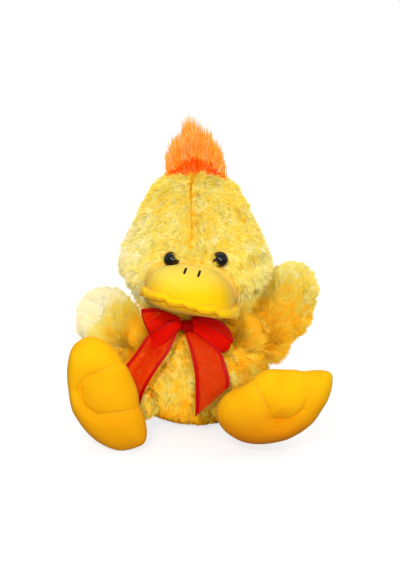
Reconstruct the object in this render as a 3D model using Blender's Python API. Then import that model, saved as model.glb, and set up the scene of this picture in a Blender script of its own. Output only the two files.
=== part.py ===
"""Seated plush duck, about 0.31 m high, as cut and sewn: pile covers over fibre filling,
stuffed limbs that turn where they are sewn on, safety eyes with their washers, and a tied ribbon.

Metres, +Z up. The duck faces -Y, and left and right are its own, so its left side is +X.
The origin is on the floor, in the middle of the flat seat."""

import math

import bmesh
import bpy
import numpy as np
from mathutils import Matrix, Vector

# Cloth, gaps and cuts
PILE_WALL = 0.010  # long-pile plush, its backing and its fur together
SMOOTH_WALL = 0.003  # short-pile velboa of the feet and the bill
GAP = 0.0004  # between two pieces that lie against each other
SOCKET_GAP = 0.0006  # round a stuffed ball in its socket
OVERRUN = 0.004  # how far a cutter reaches past what it cuts

# Torso: a pear with a flat seat
TORSO_HEIGHT = 0.118
TORSO_HALF_WIDTH = 0.075
TORSO_HALF_DEPTH = 0.062
TORSO_SEAT_DROP = 0.009  # the round base would reach this far below the flat seat
TORSO_LEAN = 0.010  # how far the top stands in front of the seat
TORSO_SWELL_SHARES = ((0.0, 0.92), (0.15, 1.0), (0.38, 1.03), (0.55, 0.98),
                      (0.70, 0.89), (0.80, 0.87), (0.90, 0.97), (1.0, 1.15))
TORSO_SEAM_DEG = 51.4  # from the front round to each edge of the tummy panel
TORSO_SEAM_HALF_DEG = 7.0  # how far round the seam draws the pile in
TORSO_SEAM_DEPTH = 0.0022
PELLET_BAG_RADIUS = 0.024
PELLET_BAG_HEIGHT = 0.020
PELLET_BAG_ROUND = 0.007

# Neck: a stuffed roll between torso and head
NECK_RADIUS = 0.034
NECK_HEIGHT = 0.107  # of its centre, where the head nods and turns
NECK_FORWARD = 0.009
NECK_CUT_SHARE = 0.86  # the roll's flat ends, as a share of its radius

# Head: narrow at the crown, broad at the cheeks
HEAD_BASE = 0.109  # height of its lowest point
HEAD_HEIGHT = 0.152
HEAD_HALF_WIDTH = 0.0770
HEAD_HALF_DEPTH = 0.064
HEAD_FORWARD = 0.012
HEAD_SWELL_SHARES = ((0.0, 1.04), (0.08, 1.08), (0.20, 1.08), (0.34, 1.05), (0.44, 0.98),
                     (0.56, 0.885), (0.67, 0.82), (0.77, 0.80), (0.87, 0.83), (1.0, 0.96))
PARTING_DEPTH = 0.0030  # of the seam from the crown to the bill, where the fur parts
PARTING_WIDTH = 0.0080
PARTING_FROM_SHARE, PARTING_FULL_SHARE = 0.42, 0.52  # of the head's height

# Safety eyes and the washers behind them
EYE_RADIUS = 0.0075
EYE_DOME = 0.0065
EYE_SINK = 0.0022  # the dome's rim stands this far inside the pile
EYE_SPREAD = 0.0238  # each eye from the middle of the face
EYE_HEIGHT = 0.181  # above the floor
EYE_SKIRT = 0.0012
SHANK_RADIUS = 0.0020
SHANK_PAST_WASHER = 0.0025
WASHER_RADIUS = 0.0080
WASHER_THICKNESS = 0.0018
WASHER_FIT = 0.0003  # between the shank and the washer, and round each in its hole

# Bill: an upper and a lower panel over one filling, with a rolled lip where they meet
BILL_HALF_WIDTH = 0.0485
BILL_REACH = 0.054  # from its root on the face to the lip at the front
BILL_RISE = 0.0350
BILL_DROP = 0.0125
BILL_LIP_WIDTH = 0.0065
BILL_LIP_HEIGHT = 0.0034
BILL_ROOT_HEIGHT = 0.1405  # of the lip's plane at the root, above the floor
BILL_ROOT_FORWARD = 0.062
BILL_ROOT_SIDE = -0.0050
BILL_ROLL_DEG, BILL_PITCH_DEG, BILL_YAW_DEG = 5.0, -6.0, -9.0
BILL_LIP_SLOPE_SHARE = 0.14  # how fast the lip falls from the right corner to the left
BILL_CORNER_POWER = 2.5  # over 2 squares the outline's corners
BILL_DOME_POWER = 0.62  # under 1 makes the panel fuller near its lip
NOSTRIL_SPREAD = 0.0067  # each from the middle of the pair
NOSTRIL_SIDE = 0.0032  # of the pair's middle
NOSTRIL_LENGTH = 0.0090
NOSTRIL_RADIUS = 0.0009
NOSTRIL_FORWARD = 0.0305  # in front of the bill's root

# Crest: locks of long fur sewn into the crown
CREST_HALF_WIDTH = 0.0265
CREST_HALF_DEPTH = 0.009
CREST_HEIGHT = 0.0495
CREST_ROOT_DROP = 0.004  # the locks start this far inside the head, which trims them
CREST_LOCK_RADIUS = 0.0100
CREST_SIDE = -0.001
# Each lock: where it is rooted and where it ends, as shares of the half width, and its height share.
CREST_LOCK_SHARES = ((-0.64, -0.92, 0.50), (-0.30, -0.36, 0.78), (0.02, -0.16, 1.0),
                     (0.34, 0.36, 0.80), (0.66, 0.95, 0.56))

# Wings: flat stuffed paddles with a round root
WING_LENGTH = 0.092
WING_HALF_WIDTH = 0.0325
WING_HALF_THICKNESS = 0.0165
WING_ROOT_RADIUS = 0.0205
WING_WIDEST_SHARE = 0.42
WING_TIP_POWER = 2.3  # over 2 squares the tip
SHOULDER_SIDE = 0.0725
SHOULDER_BACK = 0.014
SHOULDER_HEIGHT = 0.077
# Where each wing points, and where its broad face looks
WING_LEFT_AIM_SHARES, WING_LEFT_FACE_SHARES = (0.40, 0.27, 0.88), (0.10, -0.95, 0.24)
WING_RIGHT_AIM_SHARES, WING_RIGHT_FACE_SHARES = (-0.46, 0.80, 0.39), (-0.45, -0.59, 0.67)

# Tail: a short stuffed point
TAIL_LENGTH = 0.040
TAIL_ROOT_RADIUS = 0.0125
TAIL_HALF_WIDTH = 0.0155
TAIL_HALF_THICKNESS = 0.0100
TAIL_WIDEST_SHARE = 0.35
TAIL_HEIGHT = 0.046
TAIL_BACK = 0.0635
TAIL_LIFT_DEG = 38.0

# Legs: short stuffed tubes with a ball at each end
LEG_LENGTH = 0.038  # from hip to ankle
HIP_RADIUS = 0.0200
HIP_WAIST = 0.0120  # the leg is drawn in where its seams meet
ANKLE_RADIUS = 0.0155
ANKLE_WAIST = 0.0105
HIP_SPREAD = 0.0530
HIP_FORWARD = 0.0470
HIP_HEIGHT = 0.0360
LEG_LEFT_AIM_SHARES = (0.62, -0.78, 0.05)  # the leg's direction
LEG_RIGHT_AIM_SHARES = (-0.80, -0.56, 0.425)

# Feet: broad pillows with two rows of stitches between three toes
FOOT_HALF_WIDTH = 0.0570
FOOT_HALF_LENGTH = 0.0350
FOOT_HALF_THICKNESS = 0.0205
FOOT_EDGE_POWER = 2.3
FOOT_SPOKES = 26
FOOT_TUCK_SHARE = 0.26  # how much each row of stitches draws the foot in
FOOT_TUCK_WIDTH = 0.0065
# Each foot as stuffed: the turn from the middle toe, in half turns, and how full the edge is there
FOOT_LEFT_EDGE_SHARES = (
    (-1.0, 0.93), (-0.75, 0.935), (-0.65, 0.92), (-0.55, 0.96), (-0.44, 1.04), (-0.34, 1.06),
    (-0.25, 0.98), (-0.15, 0.92), (0.0, 1.07), (0.11, 1.04), (0.23, 0.90), (0.36, 1.10),
    (0.44, 1.04), (0.55, 0.82), (0.67, 0.78), (0.83, 0.90), (1.0, 0.93))
FOOT_RIGHT_EDGE_SHARES = (
    (-1.0, 0.91), (-0.84, 0.865), (-0.69, 0.85), (-0.54, 0.99), (-0.36, 1.11), (-0.27, 1.03),
    (-0.21, 0.93), (-0.08, 0.94), (0.03, 0.91), (0.13, 0.88), (0.22, 0.87), (0.34, 1.08),
    (0.43, 1.035), (0.55, 0.945), (0.68, 0.885), (0.84, 0.89), (1.0, 0.91))
# The spokes that each foot's rows of stitches start at, counted from the middle toe, and the dimple they
# end in, as shares of the foot's half width and half length
FOOT_LEFT_STITCH_SPOKES, FOOT_LEFT_DIMPLE_SHARES = (-2, 3), (-0.03, -0.27)
FOOT_RIGHT_STITCH_SPOKES, FOOT_RIGHT_DIMPLE_SHARES = (-3, 3), (-0.30, -0.46)
ANKLE_LEFT_BACK = 0.004  # from the foot's middle towards the heel
ANKLE_RIGHT_BACK = -0.005
ANKLE_STAND_OFF = 0.0060  # of the ankle's centre from the foot's back
FOOT_LEFT_SOLE_SHARES = (0.06, -0.99, 0.10)  # where the sole faces
FOOT_LEFT_TOE_SHARES = (-0.28, 0.04, 0.96)  # where the toes point
FOOT_RIGHT_SOLE_SHARES = (-0.06, -0.99, 0.08)
FOOT_RIGHT_TOE_SHARES = (0.91, 0.02, 0.41)

# Ribbon: organza with satin edges, tied at the throat
RIBBON_WIDTH = 0.038
RIBBON_THICKNESS = 0.0008
BAND_THICKNESS = 0.0016  # the ribbon lies gathered round the neck
BAND_FROM_SHARE, BAND_TO_SHARE = 0.890, 0.945  # of the torso's height
KNOT_HALF_WIDTH = 0.0090
KNOT_HALF_DEPTH = 0.0075
KNOT_HALF_HEIGHT = 0.0075
KNOT_SIDE = -0.008
KNOT_FORWARD = 0.0541
KNOT_RISE = 0.0010  # above the middle of the band
LOOP_LENGTH = 0.046
LOOP_OPEN = 0.0055  # half the hollow of a loop
LOOP_PINCH_SHARE = 0.35  # of that hollow, at the knot
LOOP_GATHER_SHARE = 0.28  # of the ribbon's width, at the knot
LOOP_WIDTH_SHARE = 0.88  # of the ribbon's width, at the fold
LOOP_LEFT_AIM_SHARES = (0.92, -0.34, -0.26)
LOOP_RIGHT_AIM_SHARES = (-0.92, -0.36, 0.13)
TAIL_RIBBON_LENGTH = 0.086
# Points down the middle of each hanging end, as shares of its length: side, forward and down.
RIBBON_LEFT_SHARES = ((0.050, -0.02, 0.086), (0.19, 0.05, 0.34), (0.28, 0.165, 0.66), (0.27, 0.18, 0.95))
RIBBON_RIGHT_SHARES = ((-0.050, -0.02, 0.090), (-0.24, 0.08, 0.32), (-0.40, 0.16, 0.56), (-0.52, 0.20, 0.78))
RIBBON_GATHER_SHARES = ((0.0, 0.18), (0.25, 0.62), (0.5, 0.90), (1.0, 1.0))
RIBBON_SLANT_SHARE = 0.17  # how much longer the inner edge is
RIBBON_FOLD = 0.0022  # depth of the soft fold down each hanging end

# How finely each round form is divided
FINE_SIDES, FINE_RINGS = 28, 16
PLAIN_SIDES, PLAIN_RINGS = 18, 10
LIMB_SIDES, LIMB_RINGS = 14, 7
BALL_SIDES, BALL_RINGS = 24, 12
FOOT_RINGS = 10
SMALL_SIDES = 16


# Materials

def cloth(name, colour, roughness=0.9):
    """A plain Principled material in one sRGB hex colour."""
    made = bpy.data.materials.new(name)
    made.use_nodes = True
    channels = [int(colour[i:i + 2], 16) / 255 for i in (1, 3, 5)]
    linear = [c / 12.92 if c <= 0.04045 else ((c + 0.055) / 1.055) ** 2.4 for c in channels]
    shader = made.node_tree.nodes["Principled BSDF"]
    shader.inputs["Base Color"].default_value = (*linear, 1.0)
    shader.inputs["Roughness"].default_value = roughness
    made.diffuse_color = (*linear, 1.0)
    return made


def materials():
    """One material for each kind of stuff the duck is made of."""
    return {
        "pile": cloth("yellow_pile", "#F6CE45"),
        "velboa": cloth("orange_velboa", "#FFB908"),
        "bill": cloth("yellow_velboa", "#FFD52E"),
        "crest": cloth("orange_fur", "#FF8A0A"),
        "filling": cloth("white_fibre", "#F1EEE6", 0.95),
        "pellets": cloth("pellet_bag_cotton", "#D9D3C4", 0.85),
        "eye": cloth("dark_brown_plastic", "#1A0D08", 0.12),
        "washer": cloth("white_plastic", "#E8E8E4", 0.45),
        "thread": cloth("black_thread", "#15120F", 0.7),
        "ribbon": cloth("red_organza", "#E01808", 0.5),
    }


# Meshes

def new_object(name, verts, faces, material, parent=None, place=None):
    """An object with its mesh facing out, smooth, under a parent and at a place of its own."""
    mesh = bpy.data.meshes.new(name)
    mesh.from_pydata([tuple(v) for v in verts], [], faces)
    body = bmesh.new()
    body.from_mesh(mesh)
    if body.calc_volume(signed=True) < 0:
        bmesh.ops.reverse_faces(body, faces=body.faces)
    body.to_mesh(mesh)
    body.free()
    mesh.shade_smooth()
    mesh.set_sharp_from_angle(angle=math.radians(50))
    made = bpy.data.objects.new(name, mesh)
    bpy.context.scene.collection.objects.link(made)
    if material:
        mesh.materials.append(material)
    made.parent = parent
    if place is not None:
        made.matrix_local = place
    return made


def closed_skin(rings, first, last):
    """Points and faces of a closed surface over rings of equal count, with a pole at each end."""
    count, sides = rings.shape[:2]
    verts = np.concatenate([rings.reshape(-1, 3), [first, last]])
    faces = []
    for i in range(count - 1):
        for j in range(sides):
            k = (j + 1) % sides
            low, high = i * sides, (i + 1) * sides
            faces += [(low + j, low + k, high + k), (low + j, high + k, high + j)]
    for j in range(sides):
        k = (j + 1) % sides
        faces.append((count * sides, k, j))
        faces.append((count * sides + 1, (count - 1) * sides + j, (count - 1) * sides + k))
    return verts, faces


def sleeve_skin(outer, outer_tip, inner, inner_tip):
    """Points and faces of a sock: two nested surfaces, each closed at its tip, joined at the open root."""
    rings = np.concatenate([outer[::-1], inner])
    return closed_skin(rings, outer_tip, inner_tip)


def frame_of(origin, z_axis, y_axis):
    """A placing matrix from where local Z points and roughly where local Y points."""
    z = Vector(z_axis).normalized()
    x = Vector(y_axis).cross(z).normalized()
    y = z.cross(x)
    turned = Matrix((x, y, z)).transposed().to_4x4()
    return Matrix.Translation(Vector(origin)) @ turned


def empty(name, place, parent=None):
    made = bpy.data.objects.new(name, None)
    bpy.context.scene.collection.objects.link(made)
    made.parent = parent
    made.matrix_local = place
    return made


def cutter(name, verts, faces, parent=None, place=None):
    """A guide that is cut away from others and is no piece of the duck."""
    made = new_object(name, verts, faces, None, parent, place)
    made.hide_render = True
    made.display_type = "WIRE"
    return made


def cut(piece, *cutters):
    for each in cutters:
        step = piece.modifiers.new("cut_" + each.name, "BOOLEAN")
        step.operation = "DIFFERENCE"
        step.solver = "EXACT"
        step.object = each


def ball_skin(radius):
    """Points and faces of a ball about the origin."""
    rise = np.linspace(0, np.pi, BALL_RINGS + 1)[1:-1, None]
    turn = np.linspace(0, 2 * np.pi, BALL_SIDES, endpoint=False)[None, :]
    rings = radius * np.stack(np.broadcast_arrays(
        np.sin(rise) * np.cos(turn), np.sin(rise) * np.sin(turn), -np.cos(rise)), axis=-1)
    return closed_skin(rings, (0, 0, -radius), (0, 0, radius))


def turned_skin(profile, sides=SMALL_SIDES):
    """Points and faces of a profile of (radius, height) points turned about Z, both ends on the axis."""
    turn = np.linspace(0, 2 * np.pi, sides, endpoint=False)
    rings = np.array([[(r * math.cos(t), r * math.sin(t), z) for t in turn] for r, z in profile[1:-1]])
    return closed_skin(rings, (0, 0, profile[0][1]), (0, 0, profile[-1][1]))


def smooth_curve(pairs, at):
    """Values at the places asked for, on a smooth curve through (place, value) pairs."""
    x, y = (np.array(column, float) for column in zip(*pairs))
    slope = np.gradient(y, x)
    i = np.clip(np.searchsorted(x, at) - 1, 0, len(x) - 2)
    width = x[i + 1] - x[i]
    t = (at - x[i]) / width
    start = y[i] * (1 + 2 * t) * (1 - t) ** 2 + slope[i] * width * t * (1 - t) ** 2
    end = y[i + 1] * t * t * (3 - 2 * t) - slope[i + 1] * width * t * t * (1 - t)
    return start + end


def smooth_path(points, at):
    """Points of a smooth line at shares of its course, through points spaced evenly along it."""
    course = np.linspace(0, 1, len(points))
    return np.stack([smooth_curve(list(zip(course, [p[k] for p in points])), at) for k in range(3)], axis=-1)


# Stuffed forms

def pear(height, half_width, half_depth, swell_shares, inset, sides, rings):
    """Rings and poles of an upright stuffed form: an ellipsoid whose girth swells and tapers with height.
    Height runs from 0, and inset takes the surface in by a cloth's thickness on every side."""
    rise = np.linspace(0, np.pi, rings + 1)[1:-1, None]
    turn = np.linspace(0, 2 * np.pi, sides, endpoint=False)[None, :]
    share = (1 - np.cos(rise)) / 2
    swell = smooth_curve(swell_shares, share) * np.sin(rise)
    ring = np.stack(np.broadcast_arrays(
        (half_width - inset) * swell * np.cos(turn),
        (half_depth - inset) * swell * np.sin(turn),
        inset + (height - 2 * inset) * share), axis=-1)
    return ring, (0, 0, inset), (0, 0, height - inset)


def torso_form(inset, sides, rings):
    """The torso's surface, in the world: a pear that is drawn in along both edges of its tummy panel, leans
    forward and is pressed flat at the seat."""
    whole = TORSO_HEIGHT + TORSO_SEAT_DROP
    ring, low, high = pear(whole, TORSO_HALF_WIDTH, TORSO_HALF_DEPTH, TORSO_SWELL_SHARES, inset, sides, rings)
    around = np.degrees(np.arctan2(np.abs(ring[..., 0]), -ring[..., 1]))
    seam = np.exp(-((around - TORSO_SEAM_DEG) / TORSO_SEAM_HALF_DEG) ** 2)
    ring[..., :2] *= 1 - TORSO_SEAM_DEPTH / TORSO_HALF_WIDTH * seam[..., None]
    ring[..., 1] -= TORSO_LEAN * (ring[..., 2] / whole) ** 2
    ring[..., 2] = np.maximum(ring[..., 2] - TORSO_SEAT_DROP, inset)
    return ring, (0, 0, inset), (0, -TORSO_LEAN, TORSO_HEIGHT - inset)


def head_form(inset, sides, rings):
    """The head's surface, standing on its own lowest point, drawn in along its front seam."""
    sizes = HEAD_HEIGHT, HEAD_HALF_WIDTH, HEAD_HALF_DEPTH, HEAD_SWELL_SHARES
    ring, low, high = pear(*sizes, inset, sides, rings)
    up = (ring[..., 2] / HEAD_HEIGHT - PARTING_FROM_SHARE) / (PARTING_FULL_SHARE - PARTING_FROM_SHARE)
    seam = np.exp(-(ring[..., 0] / PARTING_WIDTH) ** 2) * np.clip(up, 0, 1) * (ring[..., 1] < 0)
    ring[..., 1] += PARTING_DEPTH * seam
    return ring, low, high


def face_point(side, height):
    """The point of the face that far to the side and above the head's base, and its outward direction."""
    share = height / HEAD_HEIGHT

    def front(across, up):
        girth = 2 * math.sqrt(up * (1 - up)) * float(smooth_curve(HEAD_SWELL_SHARES, np.array(up)))
        return -HEAD_HALF_DEPTH * girth * math.sqrt(1 - (across / (HEAD_HALF_WIDTH * girth)) ** 2)

    step = 0.01
    spot = Vector((side, front(side, share), height))
    over = Vector((side * (1 - step), front(side * (1 - step), share), height))
    above = Vector((side, front(side, share + step), height + step * HEAD_HEIGHT))
    normal = (over - spot).cross(above - spot).normalized()
    return spot, normal if normal.y < 0 else -normal


def limb(length, root_radius, half_width, half_thickness, widest_share, inset, sides, rings):
    """Rings and poles of a stuffed limb along +Z from its pivot at the origin. A round root swells to its
    widest part, then closes in an ellipse. Local X is its width and local Y its thickness."""
    root, long = root_radius - inset, length - inset
    rise = np.linspace(0, np.pi / 2, rings // 2 + 2)[1:]
    below = -root * np.cos(rise)
    round_in = root * np.sin(rise)
    widest = widest_share * long
    swelling = np.linspace(0, 1, rings // 2 + 2)[1:]
    closing = np.linspace(0, np.pi / 2, rings // 2 + 3)[1:-1]
    blunt = 2 / WING_TIP_POWER
    ease = swelling * swelling * (3 - 2 * swelling)
    along = np.concatenate([below, widest * swelling, widest + (long - widest) * np.sin(closing) ** blunt])
    half = [np.concatenate([round_in, root + (side - inset - root) * ease, (side - inset) * np.cos(closing) ** blunt])
            for side in (half_width, half_thickness)]
    turn = np.linspace(0, 2 * np.pi, sides, endpoint=False)[None, :]
    ring = np.stack(np.broadcast_arrays(
        half[0][:, None] * np.cos(turn), half[1][:, None] * np.sin(turn), along[:, None]), axis=-1)
    return ring, (0, 0, -root), (0, 0, long)


def foot_outline(turn, edge_shares):
    """The foot's edge as a share of its half sizes, by the turn from the middle toe."""
    across, along = np.abs(np.sin(turn)), np.abs(np.cos(turn))
    edge = (across ** FOOT_EDGE_POWER + along ** FOOT_EDGE_POWER) ** (-1 / FOOT_EDGE_POWER)
    return edge * smooth_curve(edge_shares, ((turn / np.pi + 1) % 2) - 1)


def foot_form(shape, inset, rings):
    """Rings and poles of a foot: X across, Y to the toes and Z out of the sole. Spokes run from the dimple
    to the edge, and the foot is drawn in along the two spokes that are stitched between the toes."""
    edge_shares, stitch_spokes, dimple_shares = shape
    rise = np.linspace(0, np.pi, rings + 1)[1:-1, None]
    spoke = np.arange(FOOT_SPOKES)[None, :]
    turn = spoke * 2 * np.pi / FOOT_SPOKES
    out = np.sin(rise) ** 0.8
    edge = foot_outline(turn, edge_shares)
    dimple_side, dimple_fore = FOOT_HALF_WIDTH * dimple_shares[0], FOOT_HALF_LENGTH * dimple_shares[1]
    x = (FOOT_HALF_WIDTH - inset) * edge * np.sin(turn) * out + dimple_side * (1 - out)
    y = (FOOT_HALF_LENGTH - inset) * edge * np.cos(turn) * out + dimple_fore * (1 - out)
    side = FOOT_HALF_WIDTH * edge * np.sin(turn) - dimple_side
    fore = FOOT_HALF_LENGTH * edge * np.cos(turn) - dimple_fore
    drawn = np.ones_like(x)
    for stitched in stitch_spokes:
        end_side, end_fore = side[0, stitched], fore[0, stitched]
        reach = np.clip((side * end_side + fore * end_fore) * out / (end_side ** 2 + end_fore ** 2), 0, 1)
        away = np.hypot(side * out - reach * end_side, fore * out - reach * end_fore)
        drawn *= 1 - FOOT_TUCK_SHARE * np.exp(-(away / FOOT_TUCK_WIDTH) ** 2)
    ring = np.stack([x, y, -(FOOT_HALF_THICKNESS * drawn - inset) * np.cos(rise)], axis=-1)
    pole = FOOT_HALF_THICKNESS * (1 - FOOT_TUCK_SHARE) ** 2 - inset
    return ring, (dimple_side, dimple_fore, -pole), (dimple_side, dimple_fore, pole)


def bill_outline(turn, inset):
    """How far the bill's edge is from its middle, by the turn from straight ahead."""
    across = np.abs(np.sin(turn) / (BILL_HALF_WIDTH - inset))
    ahead = np.abs(np.cos(turn) / (BILL_REACH - inset))
    return (across ** BILL_CORNER_POWER + ahead ** BILL_CORNER_POWER) ** (-1 / BILL_CORNER_POWER)


def bill_dome(rise, inset, sides, rings):
    """Rings from the top of a domed panel down to where its lip begins. Local -Y is ahead."""
    turn = np.linspace(0, 2 * np.pi, sides, endpoint=False)[None, :]
    down = np.linspace(0, np.pi / 2, rings + 1)[1:, None]
    out = (bill_outline(turn, inset) - BILL_LIP_WIDTH) * np.sin(down)
    high = (rise - inset) * np.maximum(np.cos(down), 0) ** BILL_DOME_POWER
    return np.stack(np.broadcast_arrays(out * np.sin(turn), -out * np.cos(turn), high), axis=-1)


def with_lip_slope(rows):
    """The bill's points with its lip sloping down to the left, while its root stays level."""
    x, y, z = np.moveaxis(rows, -1, 0)
    share = np.clip(np.hypot(x / BILL_HALF_WIDTH, y / BILL_REACH), 0, 1) ** 2
    return np.stack([x, y, z - BILL_LIP_SLOPE_SHARE * x * share], axis=-1)


def bill_lip(sides, rings):
    """Rings over the rolled lip, from its crease round to the seam at its edge."""
    turn = np.linspace(0, 2 * np.pi, sides, endpoint=False)[None, :]
    over = np.linspace(0, np.pi, rings + 2)[1:, None]
    half = BILL_LIP_WIDTH / 2
    out = bill_outline(turn, 0) - half - half * np.cos(over)
    high = GAP / 2 + BILL_LIP_HEIGHT * np.sin(over)
    return np.stack(np.broadcast_arrays(out * np.sin(turn), -out * np.cos(turn), high), axis=-1)


# Assembling the duck

def in_head(place):
    """A place that is given from the head's base, as seen from the neck's centre."""
    return Matrix.Translation((0, NECK_FORWARD - HEAD_FORWARD, HEAD_BASE - NECK_HEIGHT)) @ place


def build_neck(stuff):
    """The neck roll: a ball cut flat at both ends, where the two fillings press on it."""
    pivot = Matrix.Translation((0, -NECK_FORWARD, NECK_HEIGHT))
    nod = empty("neck_nod_axis", pivot)
    turn = empty("head_turn_axis", Matrix.Identity(4), nod)
    flat = math.acos(NECK_CUT_SHARE)
    arc = np.linspace(flat, np.pi - flat, BALL_RINGS)
    end = NECK_RADIUS * NECK_CUT_SHARE
    profile = [(0, -end)] + [(NECK_RADIUS * math.sin(a), -NECK_RADIUS * math.cos(a)) for a in arc] + [(0, end)]
    new_object("neck_roll", *turned_skin(profile, BALL_SIDES), stuff["pile"], nod)
    return nod, turn


def ball_cutter(name, radius, place):
    return cutter(name, *ball_skin(radius), None, place)


def build_torso(stuff, sockets):
    """The torso's cover with an opening at each seam, its filling, and the pellet bag that weights the seat."""
    cover = new_object("torso_cover", *closed_skin(*torso_form(0, FINE_SIDES, FINE_RINGS)), stuff["pile"])
    hollow = cutter("torso_hollow", *closed_skin(*torso_form(PILE_WALL, PLAIN_SIDES, PLAIN_RINGS)))
    cut(cover, hollow, *sockets)
    filling = new_object(
        "torso_filling", *closed_skin(*torso_form(PILE_WALL + GAP, PLAIN_SIDES, PLAIN_RINGS)), stuff["filling"])
    low, high = PILE_WALL + GAP, PILE_WALL + GAP + PELLET_BAG_HEIGHT
    flat = PELLET_BAG_RADIUS - PELLET_BAG_ROUND
    corner = np.linspace(0, np.pi / 2, 4)
    lower = [(flat + PELLET_BAG_ROUND * math.sin(a), low + PELLET_BAG_ROUND * (1 - math.cos(a))) for a in corner]
    upper = [(r, low + high - z) for r, z in reversed(lower)]
    new_object("pellet_bag", *turned_skin([(0, low), *lower, *upper, (0, high)]), stuff["pellets"])
    pocket_radius, pocket_top = PELLET_BAG_RADIUS + GAP, high + GAP
    pocket = cutter("pellet_pocket", *turned_skin(
        [(0, low - OVERRUN), (pocket_radius, low - OVERRUN), (pocket_radius, pocket_top), (0, pocket_top)], BALL_SIDES))
    cut(filling, pocket, *sockets)


def build_eye(name, side, head, stuff, cover, filling):
    """A safety eye: a dome on a ribbed shank through the cover, held by a washer on the inside."""
    spot, normal = face_point(side, EYE_HEIGHT - HEAD_BASE)
    place = in_head(frame_of(spot, normal, (0, 0, 1)))
    rim = -EYE_SINK
    washer_top = -PILE_WALL - GAP
    washer_low = washer_top - WASHER_THICKNESS
    shank_end = washer_low - SHANK_PAST_WASHER
    arc = np.linspace(np.pi / 2, 0, 8)[:-1]
    skirt = rim - EYE_SKIRT
    dome = [(EYE_RADIUS * math.sin(a), rim + EYE_DOME * math.cos(a)) for a in arc]
    profile = [(0, shank_end), (SHANK_RADIUS, shank_end), (SHANK_RADIUS, skirt), (EYE_RADIUS, skirt)]
    new_object("eye_" + name, *turned_skin(profile + dome + [(0, rim + EYE_DOME)]), stuff["eye"], head, place)
    hole = SHANK_RADIUS + WASHER_FIT
    corners = [(hole, washer_low), (WASHER_RADIUS, washer_low), (WASHER_RADIUS, washer_top), (hole, washer_top)]
    new_object("eye_washer_" + name, *ring_skin(corners), stuff["washer"], head, place)
    wide, edge = EYE_RADIUS + WASHER_FIT, WASHER_RADIUS + WASHER_FIT
    under, over = washer_low - GAP, washer_top + GAP
    profile = [(0, shank_end - GAP), (hole, shank_end - GAP), (hole, under), (edge, under), (edge, over),
               (hole, over), (hole, skirt - GAP), (wide, skirt - GAP), (wide, EYE_DOME + OVERRUN),
               (0, EYE_DOME + OVERRUN)]
    room = cutter("eye_room_" + name, *turned_skin(profile), head, place)
    cut(cover, room)
    cut(filling, room)
    return room


def ring_skin(corners):
    """Points and faces of a ring about Z whose section has the corners given, in order."""
    turn = np.linspace(0, 2 * np.pi, SMALL_SIDES, endpoint=False)
    verts = [(r * math.cos(t), r * math.sin(t), z) for r, z in corners for t in turn]
    count = len(corners)
    faces = []
    for i in range(count):
        for j in range(SMALL_SIDES):
            k, n = (j + 1) % SMALL_SIDES, (i + 1) % count
            faces.append((i * SMALL_SIDES + j, i * SMALL_SIDES + k, n * SMALL_SIDES + k, n * SMALL_SIDES + j))
    return verts, faces


def build_head(stuff, head, socket):
    """The head's cover and filling, both open below for the neck roll."""
    place = in_head(Matrix.Identity(4))
    cover = new_object("head_cover", *closed_skin(*head_form(0, FINE_SIDES, FINE_RINGS)), stuff["pile"], head, place)
    hollow = cutter("head_hollow", *closed_skin(*head_form(PILE_WALL, PLAIN_SIDES, PLAIN_RINGS)), head, place)
    cut(cover, hollow, socket)
    filling = new_object(
        "head_filling", *closed_skin(*head_form(PILE_WALL + GAP, PLAIN_SIDES, PLAIN_RINGS)),
        stuff["filling"], head, place)
    cut(filling, socket)
    rooms = [build_eye(name, side, head, stuff, cover, filling)
             for name, side in (("left", EYE_SPREAD), ("right", -EYE_SPREAD))]
    face = cutter("head_outside", *closed_skin(*head_form(-GAP, FINE_SIDES, FINE_RINGS)), head, place)
    return face, rooms


def build_bill(stuff, head, face, eye_rooms):
    """The bill: two domed velboa panels that meet in a rolled lip, one filling, and two stitched nostrils."""
    turned = (Matrix.Rotation(math.radians(BILL_YAW_DEG), 4, "Z")
              @ Matrix.Rotation(math.radians(BILL_ROLL_DEG), 4, "Y")
              @ Matrix.Rotation(math.radians(BILL_PITCH_DEG), 4, "X"))
    root = Matrix.Translation((BILL_ROOT_SIDE, HEAD_FORWARD - BILL_ROOT_FORWARD, BILL_ROOT_HEIGHT - HEAD_BASE))
    place = in_head(root @ turned)
    sides, rings = FINE_SIDES, 6
    wall = SMOOTH_WALL + GAP
    for name, rise, mirrored in (("bill_upper", BILL_RISE, False), ("bill_lower", BILL_DROP, True)):
        inside = bill_dome(rise, SMOOTH_WALL, sides, rings)[::-1]
        inside[0, :, 2] = GAP / 2
        rows = np.concatenate([bill_dome(rise, 0, sides, rings)[:-1], bill_lip(sides, 3), inside])
        verts, faces = closed_skin(rows, (0, 0, rise), (0, 0, rise - SMOOTH_WALL))
        verts = with_lip_slope(verts * (1, 1, -1) if mirrored else verts)
        panel = new_object(name, verts, faces, stuff["bill"], head, place)
        cut(panel, face, *eye_rooms)
    top = bill_dome(BILL_RISE, wall, sides, rings)
    low = bill_dome(BILL_DROP, wall, sides, rings)[::-1] * (1, 1, -1)
    verts, faces = closed_skin(np.concatenate([top, low[1:]]), (0, 0, BILL_RISE - wall), (0, 0, wall - BILL_DROP))
    cut(new_object("bill_filling", with_lip_slope(verts), faces, stuff["filling"], head, place), face)
    for name, side in (("left", NOSTRIL_SPREAD), ("right", -NOSTRIL_SPREAD)):
        build_nostril(name, NOSTRIL_SIDE + side, head, place, stuff)


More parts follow.
